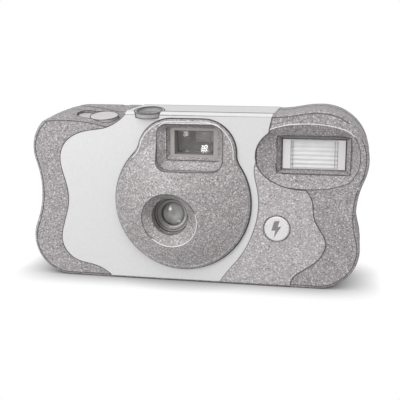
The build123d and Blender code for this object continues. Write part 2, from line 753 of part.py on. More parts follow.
def film_strip():
    """Film across the gate, with its two rows of perforations."""
    half = sqrt(can_radius ** 2 - (film_y - cassette_y) ** 2)
    x0 = cassette_x + half
    x1 = supply_x
    strip = block(x0, x1, film_front_y, film_front_y + film_thickness, lens_z - film_width / 2,
                  lens_z + film_width / 2)
    count = int((x1 - x0) / perforation_pitch)
    for index in range(count):
        x = x0 + (index + mid_share) * perforation_pitch
        for side in (-1, 1):
            z = lens_z + side * (film_width / 2 - perforation_edge - perforation_height / 2)
            strip -= block(x - perforation_width / 2, x + perforation_width / 2, film_front_y,
                           film_front_y + film_thickness, z - perforation_height / 2, z + perforation_height / 2)
    return strip


def supply_spool():
    """Core of the unexposed roll, with a journal at each end."""
    z0 = frame_bottom + frame_deck_thickness + free_gap
    z1 = frame_top - frame_deck_thickness - free_gap
    return (rod_z(supply_x, supply_y, supply_core_radius, z0, z1)
            + rod_z(supply_x, supply_y, supply_journal_radius, frame_bottom, frame_top))


def supply_film_roll():
    """Roll of film wound on the supply core."""
    z0 = lens_z - film_width / 2
    z1 = lens_z + film_width / 2
    return (rod_z(supply_x, supply_y, supply_roll_radius, z0, z1)
            - rod_z(supply_x, supply_y, supply_core_radius, z0, z1))


finger_gap = 0.2


def sprocket_wheel():
    """Toothed drum that the film turns, with its shaft up to the counter finger."""
    drum = rod_z(sprocket_x, sprocket_y, sprocket_drum_radius - sprocket_tooth_height, sprocket_z,
                 sprocket_z + sprocket_height)
    z = sprocket_z + sprocket_height / 2
    for index in range(sprocket_teeth):
        turn = index * 360 / sprocket_teeth + 180 / sprocket_teeth
        tooth = Pos(sprocket_drum_radius - sprocket_tooth_height, 0, 0) * Box(
            2 * sprocket_tooth_height, sprocket_tooth_width, sprocket_height / 2)
        drum += Pos(sprocket_x, sprocket_y, z) * Rot(0, 0, turn) * tooth
    shaft = rod_z(sprocket_x, sprocket_y, sprocket_shaft_radius, sprocket_z, dial_bottom + dial_thickness)
    reach = hypot(dial_x - sprocket_x, dial_y - sprocket_y) - dial_radius - finger_gap
    finger = bar(sprocket_x, sprocket_y, sprocket_x + reach - sprocket_tooth_width / 2, sprocket_y,
                 sprocket_tooth_width, dial_bottom, dial_bottom + dial_thickness)
    return drum + shaft + finger


def counter_dial():
    """Dial of the exposure counter, notched once for each picture."""
    z1 = dial_bottom + dial_thickness
    dial = star(dial_x, dial_y, dial_radius, dial_notch_depth, dial_notches, mid_share, dial_bottom, z1)
    return dial - rod_z(dial_x, dial_y, dial_post_radius + running_gap, dial_bottom, z1)


def high_energy_lever():
    """Striker that flicks the shutter blade: an arm with a finger down past the frame's front."""
    z0 = frame_top + free_gap
    z1 = z0 + lever_thickness
    tip_x = blade_tab_x - blade_tab_width / 2 - lever_tip_gap - lever_finger_width / 2
    tip_y = y_blade + blade_thickness / 2
    lever = bar(lever_x, lever_y, tip_x, tip_y, lever_arm_width, z0, z1)
    lever += rod_z(lever_x, lever_y, lever_hub_radius, z0, z1)
    lever += block(tip_x - lever_finger_width / 2, tip_x + lever_finger_width / 2, tip_y - lever_finger_width / 2,
                   tip_y + lever_finger_width / 2, blade_tab_z - lever_finger_width, z1)
    return lever - rod_z(lever_x, lever_y, lever_pin_radius + running_gap, z0, z1)


lever_spring_turns = 2
lever_spring_wire = 0.5


def lever_spring():
    """Coil spring round the striker's pin."""
    z0 = frame_top + free_gap + lever_thickness + seat_gap
    radius = lever_pin_radius + seat_gap + lever_spring_wire / 2
    pitch = lever_spring_wire + 2 * seat_gap
    path = Pos(lever_x, lever_y, z0 + lever_spring_wire / 2) * Helix(pitch, pitch * lever_spring_turns, radius)
    section = Plane(origin=path @ 0, z_dir=path % 0) * Rectangle(lever_spring_wire, lever_spring_wire)
    return sweep(section, path=path)


# Viewfinder
tube_wall = 0.9
tube_mouth_width = 13.4
tube_mouth_height = 8.0
eyepiece_width = 8.4
eyepiece_height = 6.6
eyepiece_lens_depth = 1.4
finder_lens_y = -9.4
finder_lens_thickness = 1.4
finder_lens_cup_radius = 22.0


def finder_section(width, height):
    """Rounded rectangle on the axis of the viewfinder."""
    return Pos(finder_x, finder_z) * RectangleRounded(width, height, finder_throat_radius)


def finder_size(y):
    """Inner width and height of the viewfinder tube at a depth."""
    share = (y - y_front_inside) / (y_rear_inside - y_front_inside)
    width = tube_mouth_width + (eyepiece_width - tube_mouth_width) * share
    height = tube_mouth_height + (eyepiece_height - tube_mouth_height) * share
    return (width, height)


def viewfinder_tube():
    """Tapering black tunnel between the two viewfinder lenses."""
    y0 = y_front_inside + seat_gap
    y1 = y_rear_inside - seat_gap
    wide, high = finder_size(y0)
    narrow, low = finder_size(y1)
    axis = Pos(finder_x, finder_z)
    outer = between(axis * Rectangle(finder_throat_width + tube_wall, finder_throat_height + tube_wall), y0,
                    axis * Rectangle(narrow + 2 * tube_wall, low + 2 * tube_wall), y1)
    return outer - between(axis * Rectangle(wide, high), y0, axis * Rectangle(narrow, low), y1)


def viewfinder_front_lens():
    """Hollowed front lens that widens the view."""
    y1 = finder_lens_y + finder_lens_thickness
    wide, high = finder_size(y1)
    lens = prism(Pos(finder_x, finder_z) * Rectangle(wide - 2 * seat_gap, high - 2 * seat_gap), finder_lens_y, y1)
    cup_y = finder_lens_y + finder_lens_thickness / 2 - finder_lens_cup_radius
    return lens - Pos(finder_x, cup_y, finder_z) * Sphere(finder_lens_cup_radius)


def viewfinder_eyepiece():
    """Clear eyepiece, seated in the rear cover with a small rim behind the tube."""
    wide, high = eyepiece_width, eyepiece_height
    y0 = y_rear_inside - eyepiece_lens_depth - seat_gap
    small_wide, small_high = finder_size(y_rear_inside)
    pane = prism(finder_section(small_wide - 2 * seat_gap - tube_wall / 2, small_high - 2 * seat_gap - tube_wall / 2),
                 y0, y_rear_inside + seat_gap)
    return pane + prism(finder_section(wide, high), y_rear_inside, y_rear - wall / 2)


# Deck: shutter button and exposure counter window
button_x = -34.2
button_y = -5.4
button_radius = 5.0
button_height = 0.8
button_gap = 0.35
button_arm_width = 7.4
button_arm_length = 6.0
button_arm_sink = 0.3
button_arm_lean = 7.0
button_arm_thickness = 1.0
button_skirt = 0.8
counter_x = -16.1
counter_y = -11.0
counter_rise = 0.2
counter_tilt = 10.0
counter_radius = 5.2
counter_inner_radius = 4.4
counter_sink = 1.5
counter_lens_rise = 0.5
counter_lens_depth = 0.9
counter_view_depth = 4.0
counter_top = body_height + counter_rise


def deck_frame(x, y, lift, lean=0):
    """Plane on the sloping deck over a point of the plan, raised by lift, its left side raised by lean degrees."""
    rise = (deck_low_height + (deck_crown_height - deck_low_height) * button_share
            + (y - y_front) * tan(radians(deck_slope)))
    slope, turn = radians(deck_slope), radians(lean)
    normal = (sin(turn), -sin(slope) * cos(turn), cos(slope) * cos(turn))
    across = (cos(turn), sin(slope) * sin(turn), -cos(slope) * sin(turn))
    origin = (x + lift * normal[0], y + lift * normal[1], rise + lift * normal[2])
    return Plane(origin=origin, x_dir=across, z_dir=normal)


button_share = 0.06


def shutter_button(grow=0, reach=0):
    """Round button on a springy round-ended arm, or the opening for both when grown by a gap and a reach."""
    top = deck_frame(button_x, button_y, button_height + reach)
    disc = extrude(top * Circle(button_radius + grow), amount=-button_height - button_skirt - 2 * reach)
    arm_top = deck_frame(button_x, button_y, reach - button_arm_sink, button_arm_lean)
    arm = Pos(-button_arm_length / 2, 0) * SlotCenterToCenter(button_arm_length, button_arm_width + 2 * grow)
    return disc + extrude(arm_top * arm, amount=-button_arm_thickness - 2 * reach)


def counter_plane(lift):
    """Tilted plane of the counter window, raised by lift."""
    normal = (0, -sin(radians(counter_tilt)), cos(radians(counter_tilt)))
    origin = (counter_x, counter_y + lift * normal[1], counter_top + lift * normal[2])
    return Plane(origin=origin, x_dir=(1, 0, 0), z_dir=normal)


def counter_hole(radius):
    """Tilted seat for the counter window."""
    return extrude(counter_plane(overrun) * Circle(radius), amount=-overrun - counter_sink - seat_gap)


def counter_view():
    """Opening under the magnifier, through which the dial shows."""
    view = extrude(counter_plane(0) * Circle(counter_inner_radius), amount=-counter_view_depth)
    return view & slab(y_front_inside, y_parting)


def counter_bezel():
    """Raised ring round the counter window."""
    ring = extrude(counter_plane(0) * Circle(counter_radius), amount=-counter_sink)
    return ring - extrude(counter_plane(0) * Circle(counter_inner_radius), amount=-counter_sink)


def counter_lens():
    """Domed magnifier over the counter's numbers."""
    radius = counter_inner_radius - seat_gap
    disc = extrude(counter_plane(0) * Circle(radius), amount=-counter_lens_depth - counter_lens_rise)
    ball_radius = (radius ** 2 + counter_lens_rise ** 2) / (2 * counter_lens_rise)
    return disc & Pos(*counter_plane(-ball_radius).origin) * Sphere(ball_radius)


# Charge button and its contact
charge_x = 28.9
charge_z = 20.6
charge_radius = 4.3
charge_hole_radius = 4.5
charge_proud = 0.8
charge_flange_radius = 5.4
charge_flange_thickness = 0.7
charge_travel = 0.8
board_gap = 0.5
board_thickness = 1.2
board_left = 13.0
board_right_inset = 16.3
board_bottom = 4.4
board_top = 33.0
contact_radius = 2.6
contact_thickness = 0.3
board_right = right_reach - board_right_inset
y_flange_back = y_front_inside + seat_gap + charge_flange_thickness
y_contact = y_flange_back + charge_travel + seat_gap
y_board = y_contact + contact_thickness
y_board_back = y_board + board_thickness


def charge_button():
    """Round charge button, kept in by a flange behind the front wall."""
    head = rod_y(charge_x, charge_z, charge_radius, y_front - charge_proud, y_flange_back)
    head = chamfer(head.faces().sort_by(Axis.Y)[0].edges(), charge_proud / 2)
    return head + rod_y(charge_x, charge_z, charge_flange_radius, y_front_inside + seat_gap, y_flange_back)


def charge_contact():
    """Thin spring disc on the board that the button closes."""
    return rod_y(charge_x, charge_z, contact_radius, y_contact, y_board)


# Flash circuit and battery
capacitor_radius = 5.9
capacitor_length = 32.0
capacitor_x = -24.3
capacitor_z = 9.4
capacitor_y = -6.6
transformer_size = 6.8
transformer_x = 33.6
transformer_z = 8.5
coil_radius = 2.4
coil_length = 7.0
coil_z = 22.0
battery_radius = 7.25
battery_length = 49.5
battery_inset = 14.8
battery_bottom = 5.9
battery_nub_radius = 2.75
battery_nub_height = 1.0
battery_rear_gap = 0.35
contact_strip = 0.3
contact_strip_width = 7.0
lamp_x = 11.5
lamp_z = 50.5
lamp_radius = 1.5
lamp_length = 5.0
battery_x = right_reach - battery_inset
battery_y = y_rear_inside - battery_rear_gap - battery_radius
battery_top = battery_bottom + battery_length


def circuit_board():
    """Flash circuit board with a few soldered parts."""
    board = block(board_left, board_right, y_board, y_board_back, board_bottom, board_top)
    return chamfer(board.edges().filter_by(Axis.Y), board_thickness)


def capacitor():
    """Large flash capacitor that lies across the front under the lens."""
    can = rod_x(capacitor_y, capacitor_z, capacitor_radius, capacitor_x, capacitor_x + capacitor_length)
    return chamfer(can.faces().sort_by(Axis.X)[0].edges(), board_thickness)


def transformer():
    """Square transformer soldered on the back of the board."""
    core = block(transformer_x, transformer_x + transformer_size, y_board_back, y_board_back + transformer_size,
                 transformer_z, transformer_z + transformer_size)
    return chamfer(core.edges().filter_by(Axis.Y), board_thickness)


def trigger_coil():
    """Small round trigger coil on the back of the board."""
    return rod_y(transformer_x + transformer_size / 2, coil_z, coil_radius, y_board_back, y_board_back + coil_length)


def battery():
    """Cylindrical AA cell, standing at the right end."""
    cell = rod_z(battery_x, battery_y, battery_radius, battery_bottom, battery_top)
    return cell + rod_z(battery_x, battery_y, battery_nub_radius, battery_top, battery_top + battery_nub_height)


def contact_foot(z0, z1, z_end):
    """Contact strip over one end of the cell, bent along its front side."""
    x0 = battery_x - contact_strip_width / 2
    x1 = battery_x + contact_strip_width / 2
    y0 = battery_y - battery_radius - contact_strip
    flat = block(x0, x1, y0 - contact_strip, battery_y + contact_strip_width / 2, z0, z1)
    return flat + block(x0, x1, y0 - contact_strip, y0, min(z0, z_end), max(z1, z_end))


def battery_contact_top():
    """Positive contact over the cell's nub."""
    z0 = battery_top + battery_nub_height
    return contact_foot(z0, z0 + contact_strip, window_z + window_height)


def battery_contact_bottom():
    """Negative contact under the cell."""
    return contact_foot(battery_bottom - contact_strip, battery_bottom, coil_z)


def ready_lamp():
    """Ready lamp that shows through the rear cover."""
    lamp = rod_y(lamp_x, lamp_z, lamp_radius, y_rear - lamp_length, y_rear)
    return chamfer(lamp.faces().sort_by(Axis.Y)[-1].edges(), lamp_radius / 3)


# Covers, doors and label
film_door_hinge_gap = 0.2
film_door_front = -12.5
film_door_height = 4.8
battery_door_inset = 23.4
battery_door_front = -2.8
battery_door_height = 5.0
door_rear = 12.9
tongue_depth = 1.6
tongue_thickness = 0.7
scoop_radius = 7.4
scoop_depth = 3.2
scoop_half_length = 8.0
slot_half_length = 9.4
slot_gap = 0.45
pad_gap = 0.3
pad_height = 28.0
cover_post_radius = 1.5
label_thickness = 0.25
label_foot = 0.7
label_back_foot = 6.0
label_corner = 4.0
label_gap = 0.3
film_door_hinge_x = lens_x - gate_width / 2 - film_door_hinge_gap
battery_door_hinge_x = right_reach - battery_door_inset


def film_door_tool(gap):
    """Bottom left corner of the body that opens as the film door."""
    tool = block(-lower_left_reach - overrun, film_door_hinge_x, film_door_front - gap, door_rear + gap, -overrun,
                 film_door_height + gap)
    edge = block(film_door_hinge_x, film_door_hinge_x + wall / 2 + gap, film_door_front - gap, door_rear + gap,
                 -overrun, wall + gap)
    return tool + edge if gap > 0 else tool


def battery_door_tool(gap):
    """Bottom right corner of the body that opens as the battery door."""
    tool = block(battery_door_hinge_x, right_reach + overrun, battery_door_front - gap, door_rear + gap, -overrun,
                 battery_door_height + gap)
    edge = block(battery_door_hinge_x - wall / 2 - gap, battery_door_hinge_x, battery_door_front - gap,
                 door_rear + gap, -overrun, wall + gap)
    return tool + edge if gap > 0 else tool


def door_barrel(x, y0):
    """Rounded hinge edge of a door, on the flat of the base."""
    return rod_y(x, wall / 2, wall / 2, y0, y_rear - rear_edge_radius)


def scoop(grow):
    """Thumb scoop over the edge of the wheel: a round-ended trough."""
    radius = scoop_radius + grow
    y = y_rear - scoop_depth + scoop_radius
    z = wheel_bottom + wheel_thickness
    trough = rod_x(y, z, radius, cassette_x - scoop_half_length, cassette_x + scoop_half_length)
    for x in (cassette_x - scoop_half_length, cassette_x + scoop_half_length):
        trough += Pos(x, y, z) * Sphere(radius)
    return trough


def tongue_ring(inset, y0, y1):
    """Thin ring inside the wall that centres the two covers on each other."""
    core = wall + seat_gap + tongue_thickness
    ring = prism(body_outline(inset), y0, y1) - prism(body_outline(core), y0, y1)
    return ring - deck_cut(inset)


def front_cover(outer, inner):
    """Front shell with the deck, the flash dish and the openings for what shows."""
    shell = (outer - inner) & slab(y_front - overrun, y_parting)
    shell += flash_bowl()
    shell += rod_y(board_left + 2 * cover_post_radius, board_top - 2 * cover_post_radius, cover_post_radius,
                   y_front_inside - wall / 2, y_board)
    shell += rod_y(board_right - 2 * cover_post_radius, board_bottom + 2 * cover_post_radius, cover_post_radius,
                   y_front_inside - wall / 2, y_board)
    shell -= flash_cut()
    shell -= rod_y(lens_x, lens_z, ring_radius + seat_gap, y_front - overrun, ring_front_y)
    shell -= between(finder_section(finder_throat_width + overrun, finder_throat_height + overrun), y_front,
                     finder_section(finder_throat_width, finder_throat_height), y_front_inside)
    shell -= rod_y(charge_x, charge_z, charge_hole_radius, y_front - overrun, y_front_inside + seat_gap)
    shell -= counter_hole(counter_radius + seat_gap)
    shell -= counter_view()
    shell -= shutter_button(button_gap, overrun)
    return shell - film_door_tool(door_gap) - battery_door_tool(door_gap)


def rear_cover(outer, inner):
    """Rear shell with the thumb scoop, the eyepiece and the pressure pad."""
    shell = (outer - inner) & slab(y_parting, y_rear + overrun)
    shell += tongue_ring(wall + seat_gap, y_parting - tongue_depth, y_parting)
    shell += tongue_ring(wall / 2, y_parting, y_parting + wall)
    shell += (scoop(wall) & outer) & slab(y_parting + overrun, y_rear + overrun)
    shell -= scoop(0)
    shell -= block(cassette_x - slot_half_length, cassette_x + slot_half_length, y_parting, y_rear - rear_edge_radius
                   / 2 + overrun, wheel_bottom - slot_gap, wheel_top + slot_gap)
    shell += block(lens_x - gate_width / 2, lens_x + gate_width / 2, film_front_y + film_thickness + pad_gap,
                   y_rear_inside + wall / 2, lens_z - pad_height / 2, lens_z + pad_height / 2)
    shell -= prism(finder_section(eyepiece_width + 2 * seat_gap, eyepiece_height + 2 * seat_gap), y_rear_inside
                   - seat_gap, y_rear + overrun)
    shell -= rod_y(lamp_x, lamp_z, lamp_radius + seat_gap, y_rear_inside - overrun, y_rear + overrun)
    return shell - film_door_tool(door_gap) - battery_door_tool(door_gap)


def film_door(outer, inner):
    """Bottom door over the film can, following the corner of the body."""
    return ((outer - inner) & film_door_tool(0)) + door_barrel(film_door_hinge_x, film_door_front)


def battery_door(outer, inner):
    """Bottom door under the battery, following the corner of the body."""
    return ((outer - inner) & battery_door_tool(0)) + door_barrel(battery_door_hinge_x, battery_door_front)


# Points of the label's two side borders, as shares of the body's half width and height, from the top down
label_left_shares = ((-0.402, 1.05), (-0.407, 0.988), (-0.453, 0.944), (-0.528, 0.905), (-0.627, 0.888),
                     (-0.728, 0.856), (-0.787, 0.807), (-0.814, 0.747), (-0.781, 0.555), (-0.771, 0.476),
                     (-0.813, 0.295), (-0.822, 0.226), (-0.796, 0.152), (-0.73, 0.098), (-0.61, 0.069),
                     (-0.513, 0.016), (-0.495, 0.0))
label_right_shares = ((0.62, 0.62), (0.655, 0.572), (0.687, 0.52), (0.698, 0.435), (0.729, 0.361), (0.772, 0.275),
                      (0.746, 0.191), (0.668, 0.121), (0.594, 0.063), (0.575, 0.0))
label_corner_shares = ((0.42, 0.80), (0.441, 0.94), (0.47, 1.05))
label_top_right_share = 0.460


def label_front():
    """Front view of the label's printed front, before its holes are cut."""
    left = [(across * right_reach, up * body_height) for across, up in label_left_shares]
    right = [(across * right_reach, up * body_height) for across, up in label_right_shares]
    corner = [(across * right_reach, up * body_height) for across, up in label_corner_shares]
    edges = [Spline(*left).edge(), Line(left[-1], right[-1]).edge(), Spline(*right).edge(),
             Line(right[0], corner[0]).edge(), Spline(*corner).edge(), Line(corner[-1], left[0]).edge()]
    return closed(edges)


def label_wrap():
    """Printed card that wraps from the front over the top and down the back."""
    skin = rounded_block(label_thickness) - rounded_block(0)
    top_left = label_left_shares[0][0] * right_reach
    top_right = label_top_right_share * right_reach
    front = prism(label_front(), y_front - overrun, y_front_inside)
    front = front & block(-left_reach, right_reach, y_front - overrun, y_front_inside, label_foot,
                          hump_height + overrun)
    front -= prism(soft_oval(flash_x, flash_z, flash_half_width + label_gap, flash_half_height + label_gap,
                             flash_rim_power), y_front - overrun, y_front_inside)
    front -= prism(pear_outline(-label_gap), y_front - overrun, y_front_inside)
    front -= rod_y(charge_x, charge_z, charge_hole_radius + label_gap, y_front - overrun, y_front_inside)
    top = block(top_left, top_right, y_front_inside, y_rear_inside, body_height - overrun, body_height + overrun)
    back_height = body_height + overrun - label_back_foot
    back_face = Pos((top_left + top_right) / 2, label_back_foot + back_height / 2) * RectangleRounded(
        top_right - top_left, back_height, label_corner)
    back = prism(back_face, y_rear - rear_edge_radius, y_rear + overrun)
    back = back & block(-left_reach, right_reach, y_rear - rear_edge_radius, y_rear + overrun, 0,
                        body_height - rear_edge_radius)
    fold = block(top_left, top_right, y_rear_inside, y_rear + overrun, body_height - rear_edge_radius,
                 body_height + overrun)
    top_back = block(top_left, top_right, y_rear - rear_edge_radius, y_rear_inside, body_height
                     - rear_edge_radius, body_height + overrun)
    label = skin & (front + top + back + fold + top_back)
    label -= counter_hole(counter_radius + label_gap)
    label -= prism(finder_section(eyepiece_width + 2 * label_gap + overrun, eyepiece_height + 2 * label_gap
                                  + overrun), y_rear_inside, y_rear + overrun)
    return label - rod_y(lamp_x, lamp_z, lamp_radius + 2 * label_gap, y_rear_inside, y_rear + overrun)


def make_camera():
    """Every piece of the camera, by the name of its node."""
    outer = outer_body()
    inner = inner_space()
    shaped = {
        "front_cover": front_cover(outer, inner),
        "rear_cover": rear_cover(outer, inner),
        "film_door": film_door(outer, inner),
        "battery_door": battery_door(outer, inner),
    }
    makers = (label_wrap, lens_cover, lens_retainer, front_lens, shutter_plate, shutter_blade, blade_spring,
              main_frame, high_energy_lever, lever_spring, viewfinder_tube, viewfinder_front_lens,
              viewfinder_eyepiece, shutter_button, counter_bezel, counter_lens, counter_dial, thumbwheel,
              ratchet_pawl, cassette_can, cassette_caps, cassette_spool, film_strip, supply_spool,
              supply_film_roll, sprocket_wheel, flash_window, flash_reflector, xenon_tube, charge_button,
              charge_contact, circuit_board, capacitor, transformer, trigger_coil, battery, battery_contact_top,
              battery_contact_bottom, ready_lamp)
    for maker in makers:
        shaped[maker.__name__] = maker()
    return shaped


os.makedirs("parts", exist_ok=True)
for node, shape in make_camera().items():
    print(node, round(shape.volume, 1), len(shape.solids()))
    export_step(shape, "parts/%s.step" % node)
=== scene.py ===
import bpy
import bmesh
import math
from mathutils import Matrix, Vector


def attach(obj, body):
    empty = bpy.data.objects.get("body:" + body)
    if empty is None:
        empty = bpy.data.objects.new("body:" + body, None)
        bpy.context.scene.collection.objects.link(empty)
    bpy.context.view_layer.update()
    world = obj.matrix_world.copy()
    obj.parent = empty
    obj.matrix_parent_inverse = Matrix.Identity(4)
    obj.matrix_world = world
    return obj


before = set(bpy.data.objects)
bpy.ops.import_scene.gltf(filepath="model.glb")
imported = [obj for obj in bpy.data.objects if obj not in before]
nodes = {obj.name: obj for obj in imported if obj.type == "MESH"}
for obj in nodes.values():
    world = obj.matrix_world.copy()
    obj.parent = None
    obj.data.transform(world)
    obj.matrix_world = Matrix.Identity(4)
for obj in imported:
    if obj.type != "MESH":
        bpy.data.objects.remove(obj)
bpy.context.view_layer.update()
mm = 0.001
print("frame loaded:", len(nodes), "nodes")


def linearColour(code, alpha=1.0):
    parts = [int(code[i:i + 2], 16) / 255 for i in (1, 3, 5)]
    parts = [p / 12.92 if p <= 0.04045 else ((p + 0.055) / 1.055) ** 2.4 for p in parts]
    return (*parts, alpha)


def addNode(tree, kind, inputs=None, **settings):
    node = tree.nodes.new(kind)
    for name, value in settings.items():
        setattr(node, name, value)
    for key, value in (inputs or {}).items():
        if isinstance(value, bpy.types.NodeSocket):
            tree.links.new(value, node.inputs[key])
        else:
            node.inputs[key].default_value = value
    return node


def newMaterial(name):
    material = bpy.data.materials.new(name)
    material.use_nodes = True
    tree = material.node_tree
    tree.nodes.clear()
    output = tree.nodes.new("ShaderNodeOutputMaterial")
    shader = tree.nodes.new("ShaderNodeBsdfPrincipled")
    tree.links.new(shader.outputs[0], output.inputs[0])
    return material, tree, shader


# Sockets of a colour mix: its two colours, and its result
first, second, mixed = 6, 7, 2

# Impact polystyrene from a spark-eroded mould: a fine pebbled grain that scatters light and speckles the grey
grainedPlastic = {
    "pebble": 0.32,            # mm across one pebble, coarser than the real grain so that it shows
    "darkShare": 0.3,          # pebbles up to this share run from dark to plain
    "plainShare": 0.75,        # pebbles past this share run from plain to light
    "speckle": 0.85,           # share of the pebbles' own tones in the colour
    "mottle": 9.0,             # mm, slow change of tone from the flow of the melt
    "tones": (0.96, 1.03),     # darkest and lightest tone of that flow
    "depth": 0.04,             # mm
    "relief": 0.35,
    "roughness": 0.62,
    "ior": 1.49,
}


def addPebbles(tree, place, size, stops):
    cells = addNode(tree, "ShaderNodeTexVoronoi", {"Vector": place, "Scale": 1 / (size * mm)})
    chance = addNode(tree, "ShaderNodeSeparateColor", {"Color": cells.outputs["Color"]})
    tones = addNode(tree, "ShaderNodeValToRGB", {"Fac": chance.outputs["Red"]})
    ramp = tones.color_ramp.elements
    for index, (position, colour) in enumerate(stops):
        stop = ramp[index] if index < 2 else ramp.new(position)
        stop.position = position
        stop.color = linearColour(colour)
    return tones.outputs["Color"], cells.outputs["Distance"]


def makeGrained(name, base, dark, light, speckle=grainedPlastic["speckle"], roughness=grainedPlastic["roughness"]):
    material, tree, shader = newMaterial(name)
    place = addNode(tree, "ShaderNodeTexCoord").outputs["Object"]
    mottle = addNode(tree, "ShaderNodeTexNoise", {"Vector": place, "Scale": 1 / (grainedPlastic["mottle"] * mm),
                                                  "Detail": 3.0})
    tones, distance = addPebbles(tree, place, grainedPlastic["pebble"],
                                 ((0.0, dark), (1.0, light), (grainedPlastic["darkShare"], base),
                                  (grainedPlastic["plainShare"], base)))
    blend = addNode(tree, "ShaderNodeMix", {"Factor": 1 - speckle, first: tones, second: linearColour(base)},
                    data_type="RGBA")
    slow = addNode(tree, "ShaderNodeMapRange", {"Value": mottle.outputs["Fac"], "From Min": 0.3, "From Max": 0.7,
                                                "To Min": grainedPlastic["tones"][0],
                                                "To Max": grainedPlastic["tones"][1]})
    toned = addNode(tree, "ShaderNodeVectorMath", {0: blend.outputs[mixed], "Scale": slow.outputs["Result"]},
                    operation="SCALE")
    tree.links.new(toned.outputs["Vector"], shader.inputs["Base Color"])
    bump = addNode(tree, "ShaderNodeBump", {"Height": distance, "Strength": grainedPlastic["relief"],
                                            "Distance": grainedPlastic["depth"] * mm})
    tree.links.new(bump.outputs["Normal"], shader.inputs["Normal"])
    shader.inputs["Roughness"].default_value = roughness
    shader.inputs["IOR"].default_value = grainedPlastic["ior"]
    return material


# Name, plain, dark and light tone, share of the speckle, roughness. The covers are grey, speckled and dull,
# the pieces that a finger or the light meets are smoother and paler, and the inner parts are black
coverStyrene = makeGrained("grained polystyrene, covers", "#949092", "#565254", "#d6d3d4")
domeStyrene = makeGrained("grained polystyrene, lens cover", "#969293", "#585455", "#d6d3d3", roughness=0.42)
buttonStyrene = makeGrained("satin polystyrene, buttons", "#d6d4d5", "#a8a6a7", "#f4f2f3", 0.3, 0.4)
deckStyrene = makeGrained("satin polystyrene, deck pieces", "#c4c1c3", "#979495", "#e6e3e5", 0.4, 0.4)
bezelStyrene = makeGrained("satin polystyrene, counter ring", "#a6a3a4", "#7c797a", "#c8c5c6", 0.4, 0.4)
ringStyrene = makeGrained("satin polystyrene, lens ring", "#a09d9b", "#716e6c", "#c5c2c0", 0.10, 0.4)
tunnelStyrene = makeGrained("satin polystyrene, viewfinder tunnel", "#9f9b99", "#716d6b", "#bfbbb9", 0.12, 0.5)
blackStyrene = makeGrained("black polystyrene, inner parts", "#26262a", "#141416", "#3c3c42", 0.2, 0.5)
dialStyrene = makeGrained("pale polystyrene, counter dial", "#c9c8c5", "#b5b4b1", "#dddcd9", 0.15, 0.45)
print("moulded plastics made")

# Printed card: offset ink under a satin varnish, pale and smooth. The right field is a grey tint of fine dots
labelPrint = {
    "paper": ("#c8c8c8", "#d2d2d2"),
    "fibres": 900.0,           # waves of the paper's fibres in one metre
    "tint": ((0.0, "#787476"), (1.0, "#dad8d9"), (0.25, "#a29ea0"), (0.78, "#aca8aa")),
    "screen": 0.32,            # mm between dots, coarser than the real screen so that it shows
    "line": "#6f6c6d",
    "lineWidth": 0.34,         # mm
    "front": -12.6,            # mm, the tint is printed on the front alone
    "reach": 40,               # mm, width that the border's curve spans
    "edge": ((-6, 6.2), (1.5, 9.9), (5.5, 12.8), (10.1, 16.4), (15.0, 19.2), (20.1, 21.1), (24.1, 22.1),
             (30.1, 22.5), (34.5, 21.9), (38.1, 21.1), (41.5, 20.9), (44.0, 21.7), (48.0, 24.0), (52.4, 25.6),
             (56.1, 26.3), (59.5, 27.2), (66, 28.6)),     # height and place of the border of the tint, mm
    "depth": 0.01,             # mm
    "relief": 0.06,
    "roughness": 0.42,
    "ior": 1.5,
}


